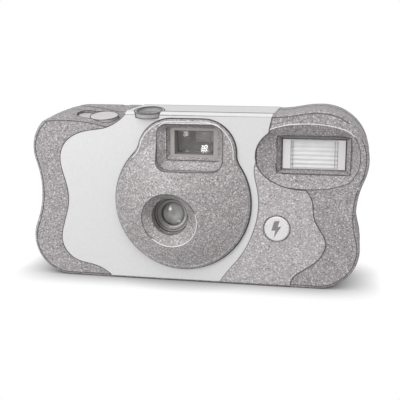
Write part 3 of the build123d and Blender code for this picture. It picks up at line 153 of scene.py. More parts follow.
def makeLabel():
    material, tree, shader = newMaterial("varnished card, printed")
    place = addNode(tree, "ShaderNodeTexCoord").outputs["Object"]
    axes = addNode(tree, "ShaderNodeSeparateXYZ", {"Vector": place})
    low, high = labelPrint["edge"][0][0] * mm, labelPrint["edge"][-1][0] * mm
    share = addNode(tree, "ShaderNodeMapRange", {"Value": axes.outputs["Z"], "From Min": low, "From Max": high})
    border = addNode(tree, "ShaderNodeFloatCurve", {"Value": share.outputs["Result"]})
    curve = border.mapping.curves[0]
    places = [((z * mm - low) / (high - low), x / labelPrint["reach"]) for z, x in labelPrint["edge"]]
    curve.points[0].location = places[0]
    curve.points[1].location = places[-1]
    for spot in places[1:-1]:
        curve.points.new(*spot)
    border.mapping.update()
    edgeX = addNode(tree, "ShaderNodeMath", {0: border.outputs["Value"], 1: labelPrint["reach"] * mm},
                    operation="MULTIPLY")
    past = addNode(tree, "ShaderNodeMath", {0: axes.outputs["X"], 1: edgeX.outputs[0]}, operation="SUBTRACT")
    front = addNode(tree, "ShaderNodeMath", {0: axes.outputs["Y"], 1: labelPrint["front"] * mm},
                    operation="LESS_THAN")
    inside = addNode(tree, "ShaderNodeMath", {0: past.outputs[0], 1: 0.0}, operation="GREATER_THAN")
    field = addNode(tree, "ShaderNodeMath", {0: inside.outputs[0], 1: front.outputs[0]}, operation="MULTIPLY")
    tinted = addPebbles(tree, place, labelPrint["screen"], labelPrint["tint"])[0]
    fibres = addNode(tree, "ShaderNodeTexNoise", {"Vector": place, "Scale": labelPrint["fibres"], "Detail": 3.0})
    paper = addNode(tree, "ShaderNodeMix", {"Factor": fibres.outputs["Fac"],
                                            first: linearColour(labelPrint["paper"][0]),
                                            second: linearColour(labelPrint["paper"][1])}, data_type="RGBA")
    colours = addNode(tree, "ShaderNodeMix", {"Factor": field.outputs[0], first: paper.outputs[mixed],
                                              second: tinted}, data_type="RGBA")
    near = addNode(tree, "ShaderNodeMath", {0: past.outputs[0], 1: 0.0, 2: labelPrint["lineWidth"] / 2 * mm},
                   operation="COMPARE")
    line = addNode(tree, "ShaderNodeMath", {0: near.outputs[0], 1: front.outputs[0]}, operation="MULTIPLY")
    inked = addNode(tree, "ShaderNodeMix", {"Factor": line.outputs[0], first: colours.outputs[mixed],
                                            second: linearColour(labelPrint["line"])}, data_type="RGBA")
    tree.links.new(inked.outputs[mixed], shader.inputs["Base Color"])
    bump = addNode(tree, "ShaderNodeBump", {"Height": fibres.outputs["Fac"], "Strength": labelPrint["relief"],
                                            "Distance": labelPrint["depth"] * mm})
    tree.links.new(bump.outputs["Normal"], shader.inputs["Normal"])
    shader.inputs["Roughness"].default_value = labelPrint["roughness"]
    shader.inputs["IOR"].default_value = labelPrint["ior"]
    return material


labelCard = makeLabel()
print("printed card made")

# Clear polystyrene and acrylic: see-through, glossy, a little milky from the moulding
clearParts = {"flow": 3.0, "depth": 0.02, "relief": 0.1, "ior": 1.49, "streak": "#ffffff"}     # flow, depth: mm


def makeClear(name, colour, roughness, alpha, through=0.0, streak=clearParts["streak"]):
    material, tree, shader = newMaterial(name)
    place = addNode(tree, "ShaderNodeTexCoord").outputs["Object"]
    flow = addNode(tree, "ShaderNodeTexNoise", {"Vector": place, "Scale": 1 / (clearParts["flow"] * mm),
                                                "Detail": 2.0})
    hue = addNode(tree, "ShaderNodeMix", {"Factor": flow.outputs["Fac"], first: linearColour(colour),
                                          second: linearColour(streak)}, data_type="RGBA")
    tree.links.new(hue.outputs[mixed], shader.inputs["Base Color"])
    bump = addNode(tree, "ShaderNodeBump", {"Height": flow.outputs["Fac"], "Strength": clearParts["relief"],
                                            "Distance": clearParts["depth"] * mm})
    tree.links.new(bump.outputs["Normal"], shader.inputs["Normal"])
    shader.inputs["Roughness"].default_value = roughness
    shader.inputs["Alpha"].default_value = alpha
    shader.inputs["Transmission Weight"].default_value = through
    shader.inputs["IOR"].default_value = clearParts["ior"]
    return material


# Name, colour, roughness, alpha, transmission. The lenses show a glint over a grey depth, the flash window is
# frosted and bright, and the ready lamp glows orange
lensAcrylic = makeClear("moulded acrylic, lens", "#8b8887", 0.05, 1.0, 0.5)
finderAcrylic = makeClear("moulded acrylic, viewfinder", "#d8d4d0", 0.04, 1.0, 0.92)
eyepieceAcrylic = makeClear("moulded acrylic, eyepiece", "#97928e", 0.15, 1.0, 0.35)
counterAcrylic = makeClear("moulded acrylic, counter window", "#b2b0af", 0.10, 0.2)
windowStyrene = makeClear("clear polystyrene, flash window", "#ecebeb", 0.22, 0.68)
lampStyrene = makeClear("orange polystyrene, ready lamp", "#d9582c", 0.2, 0.8, streak="#e86a3a")
tubeGlass = makeClear("drawn glass, flash tube", "#eef2f2", 0.05, 0.5)
print("clear plastics made")

# Metals, coatings, inks and sleeves: fine lines along the way they were rolled, drawn or wiped
rolledParts = {"stretch": 0.08, "dull": 0.08, "bright": 0.06}     # length of the lines, spread of the roughness


def makeRolled(name, colour, dark, roughness, metallic, grain):
    material, tree, shader = newMaterial(name)
    place = addNode(tree, "ShaderNodeTexCoord").outputs["Object"]
    stretched = addNode(tree, "ShaderNodeMapping", {"Vector": place, "Scale": (1.0, 1.0, rolledParts["stretch"])})
    lines = addNode(tree, "ShaderNodeTexNoise", {"Vector": stretched.outputs["Vector"], "Scale": 1 / (grain * mm),
                                                 "Detail": 3.0})
    hue = addNode(tree, "ShaderNodeMix", {"Factor": lines.outputs["Fac"], first: linearColour(dark),
                                          second: linearColour(colour)}, data_type="RGBA")
    tree.links.new(hue.outputs[mixed], shader.inputs["Base Color"])
    gloss = addNode(tree, "ShaderNodeMapRange", {"Value": lines.outputs["Fac"],
                                                 "To Min": roughness - rolledParts["bright"],
                                                 "To Max": roughness + rolledParts["dull"]})
    tree.links.new(gloss.outputs["Result"], shader.inputs["Roughness"])
    shader.inputs["Metallic"].default_value = metallic
    return material


# Name, light and dark tone, roughness, metallic, grain in mm. Springs and contacts are cool with long glints,
# and the reflector is a soft mirror
springSteel = makeRolled("spring steel, rolled", "#b9babc", "#8c8d90", 0.32, 1.0, 0.3)
brightFoil = makeRolled("vacuum-metallised plastic, reflector", "#f2f2f0", "#dcdcda", 0.18, 1.0, 0.6)

# Painted, lacquered and printed metal: an even tone with a low sheen
blackPaint = makeRolled("blackened steel, shutter blade", "#2e2e31", "#1c1c1e", 0.55, 0.0, 0.4)
canTin = makeRolled("lacquered tinplate, film can", "#5b5d61", "#45474b", 0.35, 0.6, 0.5)
cellSleeve = makeRolled("printed steel sleeve, battery", "#5f6266", "#505357", 0.35, 0.5, 0.5)

# Film is dark brown and glossy, the board is tan resin, the capacitor shines black, the windings are yellow tape
filmBase = makeRolled("triacetate film, emulsion side", "#3b2d29", "#2c211f", 0.3, 0.0, 1.5)
boardResin = makeRolled("phenolic board", "#8a7446", "#74602f", 0.45, 0.0, 1.2)
sleeveVinyl = makeRolled("shrink sleeve, capacitor", "#1d1d22", "#141418", 0.25, 0.0, 2.0)
windingTape = makeRolled("polyester tape, windings", "#c9a23c", "#b08a2a", 0.35, 0.0, 0.8)

# The window's ends are pale and even, the inks are dull, painted shade makes a dark line in a seam or crease, and
# a painted highlight a pale line on an edge
frostedStyrene = makeRolled("frosted polystyrene, ends of the flash window", "#dddbdc", "#d2d1d1", 0.4, 0.0, 0.8)
inkBlack = makeRolled("screen-printed ink, black", "#3a3839", "#302e2f", 0.5, 0.0, 0.3)
inkGrey = makeRolled("screen-printed ink", "#827d7e", "#767172", 0.5, 0.0, 0.3)
# Painted shade: dark lines that stand in for the shade in seams, creases, folds and along the outline
paintedSeamShade = makeRolled("painted shade in seams and creases", "#524e4f", "#484546", 0.8, 0.0, 0.5)
# Painted highlight: pale lines that stand in for the light caught on rounded edges
paintedEdgeHighlight = makeRolled("painted highlight on edges", "#efedee", "#e6e4e5", 0.35, 0.0, 0.5)
print("all materials made")

# Which node has which finish
finishOf = {
    coverStyrene: ("front_cover", "rear_cover", "film_door", "battery_door"),
    domeStyrene: ("lens_cover",),
    buttonStyrene: ("charge_button",),
    deckStyrene: ("shutter_button",),
    bezelStyrene: ("counter_bezel",),
    ringStyrene: ("lens_retainer",),
    tunnelStyrene: ("viewfinder_tube",),
    blackStyrene: ("main_frame", "shutter_plate", "high_energy_lever", "thumbwheel", "ratchet_pawl",
                   "cassette_spool", "supply_spool", "sprocket_wheel"),
    labelCard: ("label_wrap",),
    lensAcrylic: ("front_lens",),
    finderAcrylic: ("viewfinder_front_lens",),
    eyepieceAcrylic: ("viewfinder_eyepiece",),
    counterAcrylic: ("counter_lens",),
    windowStyrene: ("flash_window",),
    lampStyrene: ("ready_lamp",),
    tubeGlass: ("xenon_tube",),
    springSteel: ("blade_spring", "lever_spring", "charge_contact", "battery_contact_top",
                  "battery_contact_bottom"),
    brightFoil: ("flash_reflector",),
    blackPaint: ("shutter_blade",),
    canTin: ("cassette_can", "cassette_caps"),
    cellSleeve: ("battery",),
    filmBase: ("film_strip", "supply_film_roll"),
    boardResin: ("circuit_board",),
    sleeveVinyl: ("capacitor",),
    windingTape: ("transformer", "trigger_coil"),
    dialStyrene: ("counter_dial",),
}
for material, names in finishOf.items():
    for name in names:
        node = nodes[name]
        node.data.materials.clear()
        node.data.materials.append(material)
print("finishes assigned")


# Lines along the real edges of the parts: painted shade, dark in a seam or a fold, and painted highlights, pale on
# an edge that faces the light. Radius, mm
lineSizes = {"outline": 0.12, "seam": 0.13, "crease": 0.11, "fine": 0.09, "hair": 0.06, "shine": 0.14}
lineSides = 6
mergeGap = 0.002           # mm
sharpEdge = 0.9            # cosine between an edge's two faces, under which it counts as sharp
squareEdge = 0.5           # the same for an edge that is nearly square
trueFlat = 0.9999          # cosine over which two directions are the same
lensSpot = Vector((-8, 0, 23.6))         # middles of round parts, mm
dishSpot = Vector((-8.4, 0, 21.7))
buttonSpot = Vector((28.9, 0, 20.6))
bodyMiddle = 30            # mm, a height inside the body that its outer faces look away from
forward = Vector((0, -1, 0))
rear = Vector((0, 1, 0))


def mergedCopy(name):
    mesh = bmesh.new()
    mesh.from_mesh(nodes[name].data)
    bmesh.ops.remove_doubles(mesh, verts=mesh.verts, dist=mergeGap * mm)
    mesh.normal_update()
    return mesh


def edgesWhere(name, test):
    mesh = mergedCopy(name)
    lines = []
    for edge in mesh.edges:
        if len(edge.link_faces) == 2:
            a, b = (face.normal.copy() for face in edge.link_faces)
            p, q = (vert.co / mm for vert in edge.verts)
            if test(a, b, p, q):
                lines.append((p, q))
    mesh.free()
    return lines


def loopsWithin(name, box, keep=None):     # whole runs of sharp edges that stay inside the box
    lines = edgesWhere(name, lambda a, b, p, q: a.dot(b) < sharpEdge)
    ends = {}
    for line in lines:
        for point in line:
            ends.setdefault(tuple(point), []).append(line)
    found, met = [], set()
    for start in lines:
        loop, waiting = [], [start]
        while waiting:
            line = waiting.pop()
            if id(line) not in met:
                met.add(id(line))
                loop.append(line)
                waiting += [other for point in line for other in ends[tuple(point)]]
        if all(within(point, box) for line in loop for point in line):
            found += [line for line in loop if keep is None or keep((line[0] + line[1]) / 2)]
    return found


def faces(normal, direction, limit=0.999):
    return normal.dot(direction) > limit


def within(p, box):
    return all(low <= c <= high for low, c, high in zip(box[0], p, box[1]))


def fromSpot(p, spot):
    return math.hypot(p.x - spot.x, p.z - spot.z)


def atDepth(p, q, y, gap=0.03):
    return abs(p.y - y) < gap and abs(q.y - y) < gap


def outward(a, b, p):
    return (a + b).dot(p - Vector((0, p.y, bodyMiddle))) > 0.5


def facingLight(p, spot):     # the lower right of a hollow, where the light from the upper left falls
    return (p.x - spot.x) * 0.55 - (p.z - spot.z) * 0.84 > 2.0


def lineTree():
    tree = bpy.data.node_groups.new("edge line", "GeometryNodeTree")
    face = tree.interface
    face.new_socket("Edges", in_out="INPUT", socket_type="NodeSocketGeometry")
    face.new_socket("Line radius", in_out="INPUT", socket_type="NodeSocketFloat")
    face.new_socket("Sides", in_out="INPUT", socket_type="NodeSocketInt")
    face.new_socket("Finish", in_out="INPUT", socket_type="NodeSocketMaterial")
    face.new_socket("Line", in_out="OUTPUT", socket_type="NodeSocketGeometry")
    start = tree.nodes.new("NodeGroupInput")
    end = tree.nodes.new("NodeGroupOutput")
    path = addNode(tree, "GeometryNodeMeshToCurve", {"Mesh": start.outputs["Edges"]})
    ring = addNode(tree, "GeometryNodeCurvePrimitiveCircle", {"Resolution": start.outputs["Sides"],
                                                              "Radius": start.outputs["Line radius"]})
    tube = addNode(tree, "GeometryNodeCurveToMesh", {"Curve": path.outputs[0], "Fill Caps": True,
                                                     "Profile Curve": ring.outputs["Curve"]})
    real = addNode(tree, "GeometryNodeRealizeInstances", {"Geometry": tube.outputs[0]})
    done = addNode(tree, "GeometryNodeSetMaterial", {"Geometry": real.outputs[0],
                                                     "Material": start.outputs["Finish"]})
    tree.links.new(done.outputs[0], end.inputs[0])
    return tree


edgeLines = lineTree()


def socketOf(tree, name):
    return next(s.identifier for s in tree.interface.items_tree if s.name == name and s.in_out == "INPUT")


def throughTree(mesh, name, tree, values, finish):     # a mesh run through a tree and kept as a plain mesh
    piece = bpy.data.objects.new(name, mesh)
    bpy.context.scene.collection.objects.link(piece)
    modifier = piece.modifiers.new("shape", "NODES")
    modifier.node_group = tree
    for key, value in values.items():
        modifier[socketOf(tree, key)] = value
    modifier[socketOf(tree, "Finish")] = finish
    bpy.context.view_layer.update()
    result = bpy.data.meshes.new_from_object(piece.evaluated_get(bpy.context.evaluated_depsgraph_get()))
    result.name = name
    bpy.data.objects.remove(piece)
    made = bpy.data.objects.new(name, result)
    bpy.context.scene.collection.objects.link(made)
    return made


# Draws a line along the given edges: painted shade by default, or a painted highlight with the pale finish
def seam(name, lines, size, body="body", finish=paintedSeamShade, shift=(0, 0, 0)):
    points, index, edges = [], {}, []
    for line in lines:
        ends = []
        for point in line:
            key = tuple(round(c, 3) for c in point)
            if key not in index:
                index[key] = len(points)
                points.append((point + Vector(shift)) * mm)
            ends.append(index[key])
        if ends[0] != ends[1]:
            edges.append(ends)
    mesh = bpy.data.meshes.new(name)
    mesh.from_pydata(points, edges, [])
    piece = throughTree(mesh, name, edgeLines, {"Line radius": lineSizes[size] * mm, "Sides": lineSides}, finish)
    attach(piece, body)
    print(name, "edges", len(edges), "faces", len(piece.data.polygons))


# Lens cover: painted shade lines along its outline on the label, the dome, the lens dish and the viewfinder
# pocket, and painted highlights on the lit side of the dish, the pocket's top and the rim
lensCover = {
    "foot": ((-28, -14.1, 4), (20, -13.9, 58)),          # boxes that hold the edges wanted, mm
    "rim": ((-28, -16.1, 4), (20, -15.9, 58)),
    "dome": ((-26, -19, 7), (18, -13.9, 39)),
    "dish": ((-19, -21, 13), (3, -18, 33)),
    "bore": ((-15, -16.5, 17), (-1, -16.3, 30.5)),
    "pocket": ((-13, -20, 39.5), (11, -15.9, 56)),
    "pocketFoot": ((-11, -15, 42), (10, -13, 55.2)),
    "shadeSide": -5,          # mm, the painted outline shade is drawn up to here, and the edge's own rendered shade goes on
    "wellRadius": 12.5,       # mm, round the lens
    "domeLow": 30, "domeFront": -15.5,
    "ringFront": -11.2, "tunnelFront": -8.5,
    "pocketTop": 54.5, "lobeTop": 44, "lift": 0.42,
}
# Painted highlight: a pale arc on the cone of the lens ring, mm and degrees
ringGlint = {"radius": 4.65, "y": -12.0, "from": -105, "to": -10, "pieces": 24}


def ringArc():
    step = (ringGlint["to"] - ringGlint["from"]) / ringGlint["pieces"]
    turns = [math.radians(ringGlint["from"] + step * i) for i in range(ringGlint["pieces"] + 1)]
    points = [lensSpot + Vector((ringGlint["radius"] * math.cos(turn), ringGlint["y"],
                                 ringGlint["radius"] * math.sin(turn))) for turn in turns]
    return list(zip(points, points[1:]))


seam("seamLensCover", loopsWithin("lens_cover", lensCover["foot"],
                                  lambda p: p.x < lensCover["shadeSide"]
                                  and fromSpot(p, lensSpot) > lensCover["wellRadius"]
                                  and not within(p, lensCover["pocketFoot"])), "outline")
seam("creaseDomeTop", loopsWithin("lens_cover", lensCover["dome"],
                                  lambda p: p.z > lensCover["domeLow"] and p.y < lensCover["domeFront"]), "crease")
seam("creaseDish", loopsWithin("lens_cover", lensCover["dish"], lambda p: not facingLight(p, dishSpot)), "crease")
seam("shineDish", loopsWithin("lens_cover", lensCover["dish"], lambda p: facingLight(p, dishSpot)), "shine",
     finish=paintedEdgeHighlight)
seam("creaseLensRing", edgesWhere("lens_retainer", lambda a, b, p, q: a.dot(b) < sharpEdge
                                  and p.y < lensCover["ringFront"]), "crease")
seam("shineLens", ringArc(), "shine", finish=paintedEdgeHighlight)
seam("creaseFinder", edgesWhere("viewfinder_tube", lambda a, b, p, q: a.dot(b) < squareEdge
                                and max(p.y, q.y) < lensCover["tunnelFront"]), "crease")
seam("creaseBore", loopsWithin("lens_cover", lensCover["bore"]), "crease")
seam("creasePocket", loopsWithin("lens_cover", lensCover["pocket"]), "seam")
seam("shinePocket", loopsWithin("lens_cover", lensCover["pocket"], lambda p: p.z > lensCover["pocketTop"]),
     "shine", finish=paintedEdgeHighlight, shift=(0, 0, lensCover["lift"]))
seam("shineLensCover", loopsWithin("lens_cover", lensCover["rim"], lambda p: p.z > lensCover["lobeTop"]),
     "shine", finish=paintedEdgeHighlight)
print("lines of the lens cover drawn")

# Label and front: painted shade lines along the label's edge and folds, and along the wavy edge of the front
# cover's raised face
frontLines = {
    "face": -14.0, "card": 14.25,                       # y of the cover's face and of the card, mm
    "buttonGap": 6, "lensGap": 12,                      # mm kept clear round the button and the lens
    "flashDish": ((21.9, -15, 34.4), (55.9, -13, 56.6)),
    "foldLong": 3,                                      # mm, shorter edges are facets of a curve
    "topFold": 59.73, "topFoldFrom": -13.25, "topFoldTo": -13.1,
    "frontFoldFrom": 58.45, "frontFoldTo": 58.6, "frontFoldGap": 0.005,
}
seam("seamLabelFront", edgesWhere("label_wrap", lambda a, b, p, q: atDepth(p, q, -frontLines["card"])
                                  and abs(a.dot(b)) < squareEdge and (faces(a, forward) or faces(b, forward))
                                  and fromSpot(p, buttonSpot) > frontLines["buttonGap"]), "seam")
seam("foldLabelTop", edgesWhere("label_wrap", lambda a, b, p, q: abs(p.x - q.x) > frontLines["foldLong"]
                                and min(p.z, q.z) > frontLines["topFold"]
                                and max(p.y, q.y) < frontLines["topFoldTo"]
                                and min(p.y, q.y) > frontLines["topFoldFrom"]), "seam")
seam("foldLabelFront", edgesWhere("label_wrap", lambda a, b, p, q: abs(p.x - q.x) > frontLines["foldLong"]
                                  and a.dot(b) < trueFlat
                                  and atDepth(p, q, -frontLines["card"], frontLines["frontFoldGap"])
                                  and min(p.z, q.z) > frontLines["frontFoldFrom"]
                                  and max(p.z, q.z) < frontLines["frontFoldTo"]), "hair")
seam("seamFrontFace", edgesWhere("front_cover", lambda a, b, p, q: atDepth(p, q, frontLines["face"])
                                 and (faces(a, forward, trueFlat) != faces(b, forward, trueFlat))
                                 and fromSpot(p, buttonSpot) > frontLines["buttonGap"]
                                 and fromSpot(p, lensSpot) > frontLines["lensGap"]
                                 and not within(p, frontLines["flashDish"])), "seam")

# Back: painted shade lines along the label's edge, the openings and the thumb scoop
backLines = {"rim": 13.2, "scoop": ((-49, 9, 46), (-29, 13.6, 53))}     # mm
seam("seamLabelRear", edgesWhere("label_wrap", lambda a, b, p, q: atDepth(p, q, frontLines["card"])
                                 and abs(a.dot(b)) < squareEdge and (faces(a, rear) or faces(b, rear))), "seam")
seam("creaseRearOpenings", edgesWhere("rear_cover", lambda a, b, p, q: min(p.y, q.y) > backLines["rim"]
                                      and a.dot(b) < sharpEdge
                                      and not (faces(a, rear, sharpEdge) and faces(b, rear, sharpEdge))), "fine")
seam("creaseScoop", loopsWithin("rear_cover", backLines["scoop"]), "fine")

# Doors in the base: painted shade lines in the door gaps; the hinge side stays bare, so that no line meets the
# cover as the door swings
doorLines = {"under": 0.05, "filmFrom": -29, "filmTo": -27, "batteryFrom": 39, "batteryTo": 37}     # mm
seam("seamFilmDoor", edgesWhere("film_door", lambda a, b, p, q: a.dot(b) < squareEdge
                                and max(p.z, q.z) < doorLines["under"] and min(p.x, q.x) < doorLines["filmFrom"]
                                and max(p.x, q.x) < doorLines["filmTo"]), "fine", "film_door")
seam("seamBatteryDoor", edgesWhere("battery_door", lambda a, b, p, q: a.dot(b) < squareEdge
                                   and max(p.z, q.z) < doorLines["under"]
                                   and max(p.x, q.x) > doorLines["batteryFrom"]
                                   and min(p.x, q.x) > doorLines["batteryTo"]), "fine", "battery_door")

# Outline of the body: painted shade lines where its rounded edges begin
bodyLines = {
    "frontBend": -13.0, "frontGap": 0.02, "rearBend": 10.6, "rearGap": 0.06,
    "gripSide": -45, "underSide": 1.5, "topSide": 50, "labelTop": 57, "shortest": 0.3,     # mm
}
seam("edgeFrontSide", edgesWhere("front_cover", lambda a, b, p, q:
                                 atDepth(p, q, bodyLines["frontBend"], bodyLines["frontGap"]) and outward(a, b, p)
                                 and (p.x < bodyLines["gripSide"] or p.z < bodyLines["underSide"])), "crease")
seam("edgeRearTop", edgesWhere("rear_cover", lambda a, b, p, q:
                               atDepth(p, q, bodyLines["rearBend"], bodyLines["rearGap"]) and outward(a, b, p)
                               and p.z > bodyLines["topSide"]
                               and (p - q).length > bodyLines["shortest"]), "crease")
seam("edgeLabelRear", edgesWhere("label_wrap", lambda a, b, p, q:
                                 atDepth(p, q, bodyLines["rearBend"], bodyLines["rearGap"]) and outward(a, b, p)
                                 and p.z > bodyLines["labelTop"]), "crease")
print("lines of the body drawn")

# Flash: painted shade along the rim of its dish with a painted highlight along its top, and painted shade lines at
# the window's edge and moulded bands
flashLines = {
    "rim": ((21.9, -14.1, 34.4), (55.9, -13.9, 56.6)), "rimTop": 52.5,
    "seat": ((27, -12.5, 38.5), (54, -7.5, 53)),
    "bands": (32.6, 33.3, 47.4, 48.3), "bandY": -9.0, "bandLow": 41.2, "bandHigh": 50.2,
    "left": 29.8, "right": 51.0, "low": 40.5, "high": 50.9, "edgeY": -9.05,     # mm
}


def windowFrame():
    sides = ((flashLines["left"], flashLines["low"]), (flashLines["right"], flashLines["low"]),
             (flashLines["right"], flashLines["high"]), (flashLines["left"], flashLines["high"]))
    corners = [Vector((x, flashLines["edgeY"], z)) for x, z in sides]
    return list(zip(corners, corners[1:] + corners[:1]))


seam("creaseFlashRim", loopsWithin("front_cover", flashLines["rim"], lambda p: p.z < flashLines["rimTop"]),
     "crease")
seam("shineFlashRim", loopsWithin("front_cover", flashLines["rim"], lambda p: p.z >= flashLines["rimTop"]),
     "shine", finish=paintedEdgeHighlight)
seam("windowBands", [tuple(Vector((x, flashLines["bandY"], flashLines[end])) for end in ("bandLow", "bandHigh"))
                     for x in flashLines["bands"]], "hair")
seam("windowEdge", windowFrame(), "fine")
seam("creaseFlashSeat", loopsWithin("front_cover", flashLines["seat"]), "crease")
print("lines of the flash drawn")

# Deck: painted shade lines along the button's well, the counter ring, the button, and the parting line of the two
# covers
deckLines = {
    "well": ((-45, -11, 54), (-28, 0, 58.5)),
    "wheelSlot": ((-50, 2, 45), (-28, 3, 55)),
    "ringTop": 57.0, "parting": 2.5,     # mm
    "buttonTop": 0.9,                    # cosine to straight up
}
seam("creaseDeck", loopsWithin("front_cover", deckLines["well"]), "fine")
seam("creaseBezel", edgesWhere("counter_bezel", lambda a, b, p, q: a.dot(b) < squareEdge
                               and p.z > deckLines["ringTop"]), "seam")
seam("creaseShutterButton", edgesWhere("shutter_button", lambda a, b, p, q: a.dot(b) < squareEdge
                                       and max(a.z, b.z) > deckLines["buttonTop"]), "seam", "shutter_button")
seam("partingLine", edgesWhere("front_cover", lambda a, b, p, q: atDepth(p, q, deckLines["parting"])
                               and (faces(a, rear) != faces(b, rear))
                               and (b if faces(a, rear) else a).dot(
                                   p - Vector((0, deckLines["parting"], bodyMiddle))) > 0
                               and not within(p, deckLines["wheelSlot"])), "crease")
print("lines of the deck drawn")


def makePlate(name, plate, finish, body):     # flat pieces cut to outlines that run anticlockwise from the front
    points, walls = [], []
    for outline in plate["outlines"]:
        start, count = len(points), len(outline)
        for depth in (0, plate["thick"]):
            points += [((plate["x"] + x) * mm, (plate["y"] + depth) * mm, (plate["z"] + z) * mm)
                       for x, z in outline]
        front = [start + i for i in range(count)]
        back = [i + count for i in front]
        ahead = [(i + 1) % count for i in range(count)]
        walls += [front, back[::-1]]
        walls += [(front[i], back[i], back[ahead[i]], front[ahead[i]]) for i in range(count)]
    data = bpy.data.meshes.new(name)
    data.from_pydata(points, [], walls)
    data.materials.append(finish)
    piece = bpy.data.objects.new(name, data)
    bpy.context.scene.collection.objects.link(piece)
    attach(piece, body)


# Flash symbol on the charge button: the generic sign for lightning, in raised ink
boltSign = {
    "x": 28.9, "z": 20.6, "y": -14.82, "thick": 0.06,     # mm
    "outlines": [((-1.8, -0.6), (-0.45, -0.5), (-1.0, -3.2), (1.5, 0.95), (0.3, 0.8), (0.95, 2.95), (-0.9, 2.7))],
}
makePlate("boltSign", boltSign, inkGrey, "charge_button")
print("flash symbol made")

# Flat frosted ends of the flash window, beside its ribs
windowEnds = {
    "x": 40.4, "z": 45.7, "y": -9.04, "thick": 0.08,      # mm
    "outlines": [((left, -5.0), (right, -5.0), (right, 5.0), (left, 5.0))
                 for left, right in ((-10.45, -7.75), (8.05, 10.45))],
}
makePlate("windowEnds", windowEnds, frostedStyrene, "body")
print("ends of the flash window made")

# Numbers and marks of the exposure counter, printed on the top of its dial
dialPrint = {
    "x": -17.6, "y": -6.5, "z": 57.43,                        # middle of the print, mm
    "pictures": 30, "step": 3,                                # a number at each third mark
    "digit": 1.9, "ring": 3.9, "marks": 5.1,                  # height of a digit, radius of numbers and marks, mm
    "markLong": 0.7, "markWide": 0.22, "thick": 0.03,         # mm
}


def markTree():
    tree = bpy.data.node_groups.new("dial marks", "GeometryNodeTree")
    face = tree.interface
    face.new_socket("Numbers", in_out="INPUT", socket_type="NodeSocketGeometry")
    face.new_socket("Count", in_out="INPUT", socket_type="NodeSocketInt")
    face.new_socket("Ring radius", in_out="INPUT", socket_type="NodeSocketFloat")
    face.new_socket("Mark size", in_out="INPUT", socket_type="NodeSocketVector")
    face.new_socket("Finish", in_out="INPUT", socket_type="NodeSocketMaterial")
    face.new_socket("Print", in_out="OUTPUT", socket_type="NodeSocketGeometry")
    start = tree.nodes.new("NodeGroupInput")
    end = tree.nodes.new("NodeGroupOutput")
    ring = addNode(tree, "GeometryNodeMeshCircle", {"Vertices": start.outputs["Count"],
                                                    "Radius": start.outputs["Ring radius"]})
    block = addNode(tree, "GeometryNodeMeshCube", {"Size": start.outputs["Mark size"]})
    place = addNode(tree, "GeometryNodeInputPosition")
    turn = addNode(tree, "FunctionNodeAlignEulerToVector", {"Vector": place.outputs[0]}, axis="X")
    marks = addNode(tree, "GeometryNodeInstanceOnPoints", {"Points": ring.outputs[0], "Instance": block.outputs[0],
                                                           "Rotation": turn.outputs[0]})
    both = tree.nodes.new("GeometryNodeJoinGeometry")
    tree.links.new(start.outputs["Numbers"], both.inputs[0])
    tree.links.new(marks.outputs[0], both.inputs[0])
    real = addNode(tree, "GeometryNodeRealizeInstances", {"Geometry": both.outputs[0]})
    done = addNode(tree, "GeometryNodeSetMaterial", {"Geometry": real.outputs[0],
                                                     "Material": start.outputs["Finish"]})
    tree.links.new(done.outputs[0], end.inputs[0])
    return tree


def makeDialPrint():
    numbers = bmesh.new()
    for number in range(0, dialPrint["pictures"], dialPrint["step"]):
        text = bpy.data.curves.new("number", "FONT")
        text.body = str(number)
        text.size = dialPrint["digit"] * mm
        text.align_x, text.align_y = "CENTER", "CENTER"
        text.resolution_u = 2
        sign = bpy.data.objects.new("number", text)
        bpy.context.scene.collection.objects.link(sign)
        bpy.context.view_layer.update()
        flat = bpy.data.meshes.new_from_object(sign.evaluated_get(bpy.context.evaluated_depsgraph_get()))
        turn = Matrix.Rotation(-math.tau * number / dialPrint["pictures"], 4, "Z")
        flat.transform(turn @ Matrix.Translation((0, -dialPrint["ring"] * mm, 0)))
        numbers.from_mesh(flat)
        bpy.data.objects.remove(sign)
    mesh = bpy.data.meshes.new("dialPrint")
    numbers.to_mesh(mesh)
    numbers.free()
    size = (dialPrint["markLong"] * mm, dialPrint["markWide"] * mm, dialPrint["thick"] * mm)
    values = {"Count": dialPrint["pictures"], "Mark size": size, "Ring radius": dialPrint["marks"] * mm}
    piece = throughTree(mesh, "dialPrint", markTree(), values, inkBlack)
    piece.data.transform(Matrix.Translation([dialPrint[axis] * mm for axis in ("x", "y", "z")]))
    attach(piece, "counter")
    print("dialPrint faces", len(piece.data.polygons))


makeDialPrint()


# Floor and room: matt white paper that shows pure white to the camera, with a painted contact shadow: its glow to
# the camera dims by ambient occlusion near the object
stageLook = {
    "paper": "#c4c4c4",
    "shadow": 12,          # reach of the painted contact shadow, mm
    "rough": 0.9,
    "room": 0.38,          # strength of the room's own light
    "reach": 4.0, "drop": 0.0001,     # metres: half the floor's width, and how far it lies under the object
}


def seenRays(tree):     # rays that show the paper itself: to the camera, in a gloss and through a clear part
    rays = addNode(tree, "ShaderNodeLightPath")
    seen = addNode(tree, "ShaderNodeMath", {0: rays.outputs["Is Camera Ray"], 1: rays.outputs["Is Glossy Ray"]},
                   operation="ADD")
    return addNode(tree, "ShaderNodeMath", {0: seen.outputs[0], 1: rays.outputs["Is Transmission Ray"]},
                   operation="ADD", use_clamp=True).outputs[0]


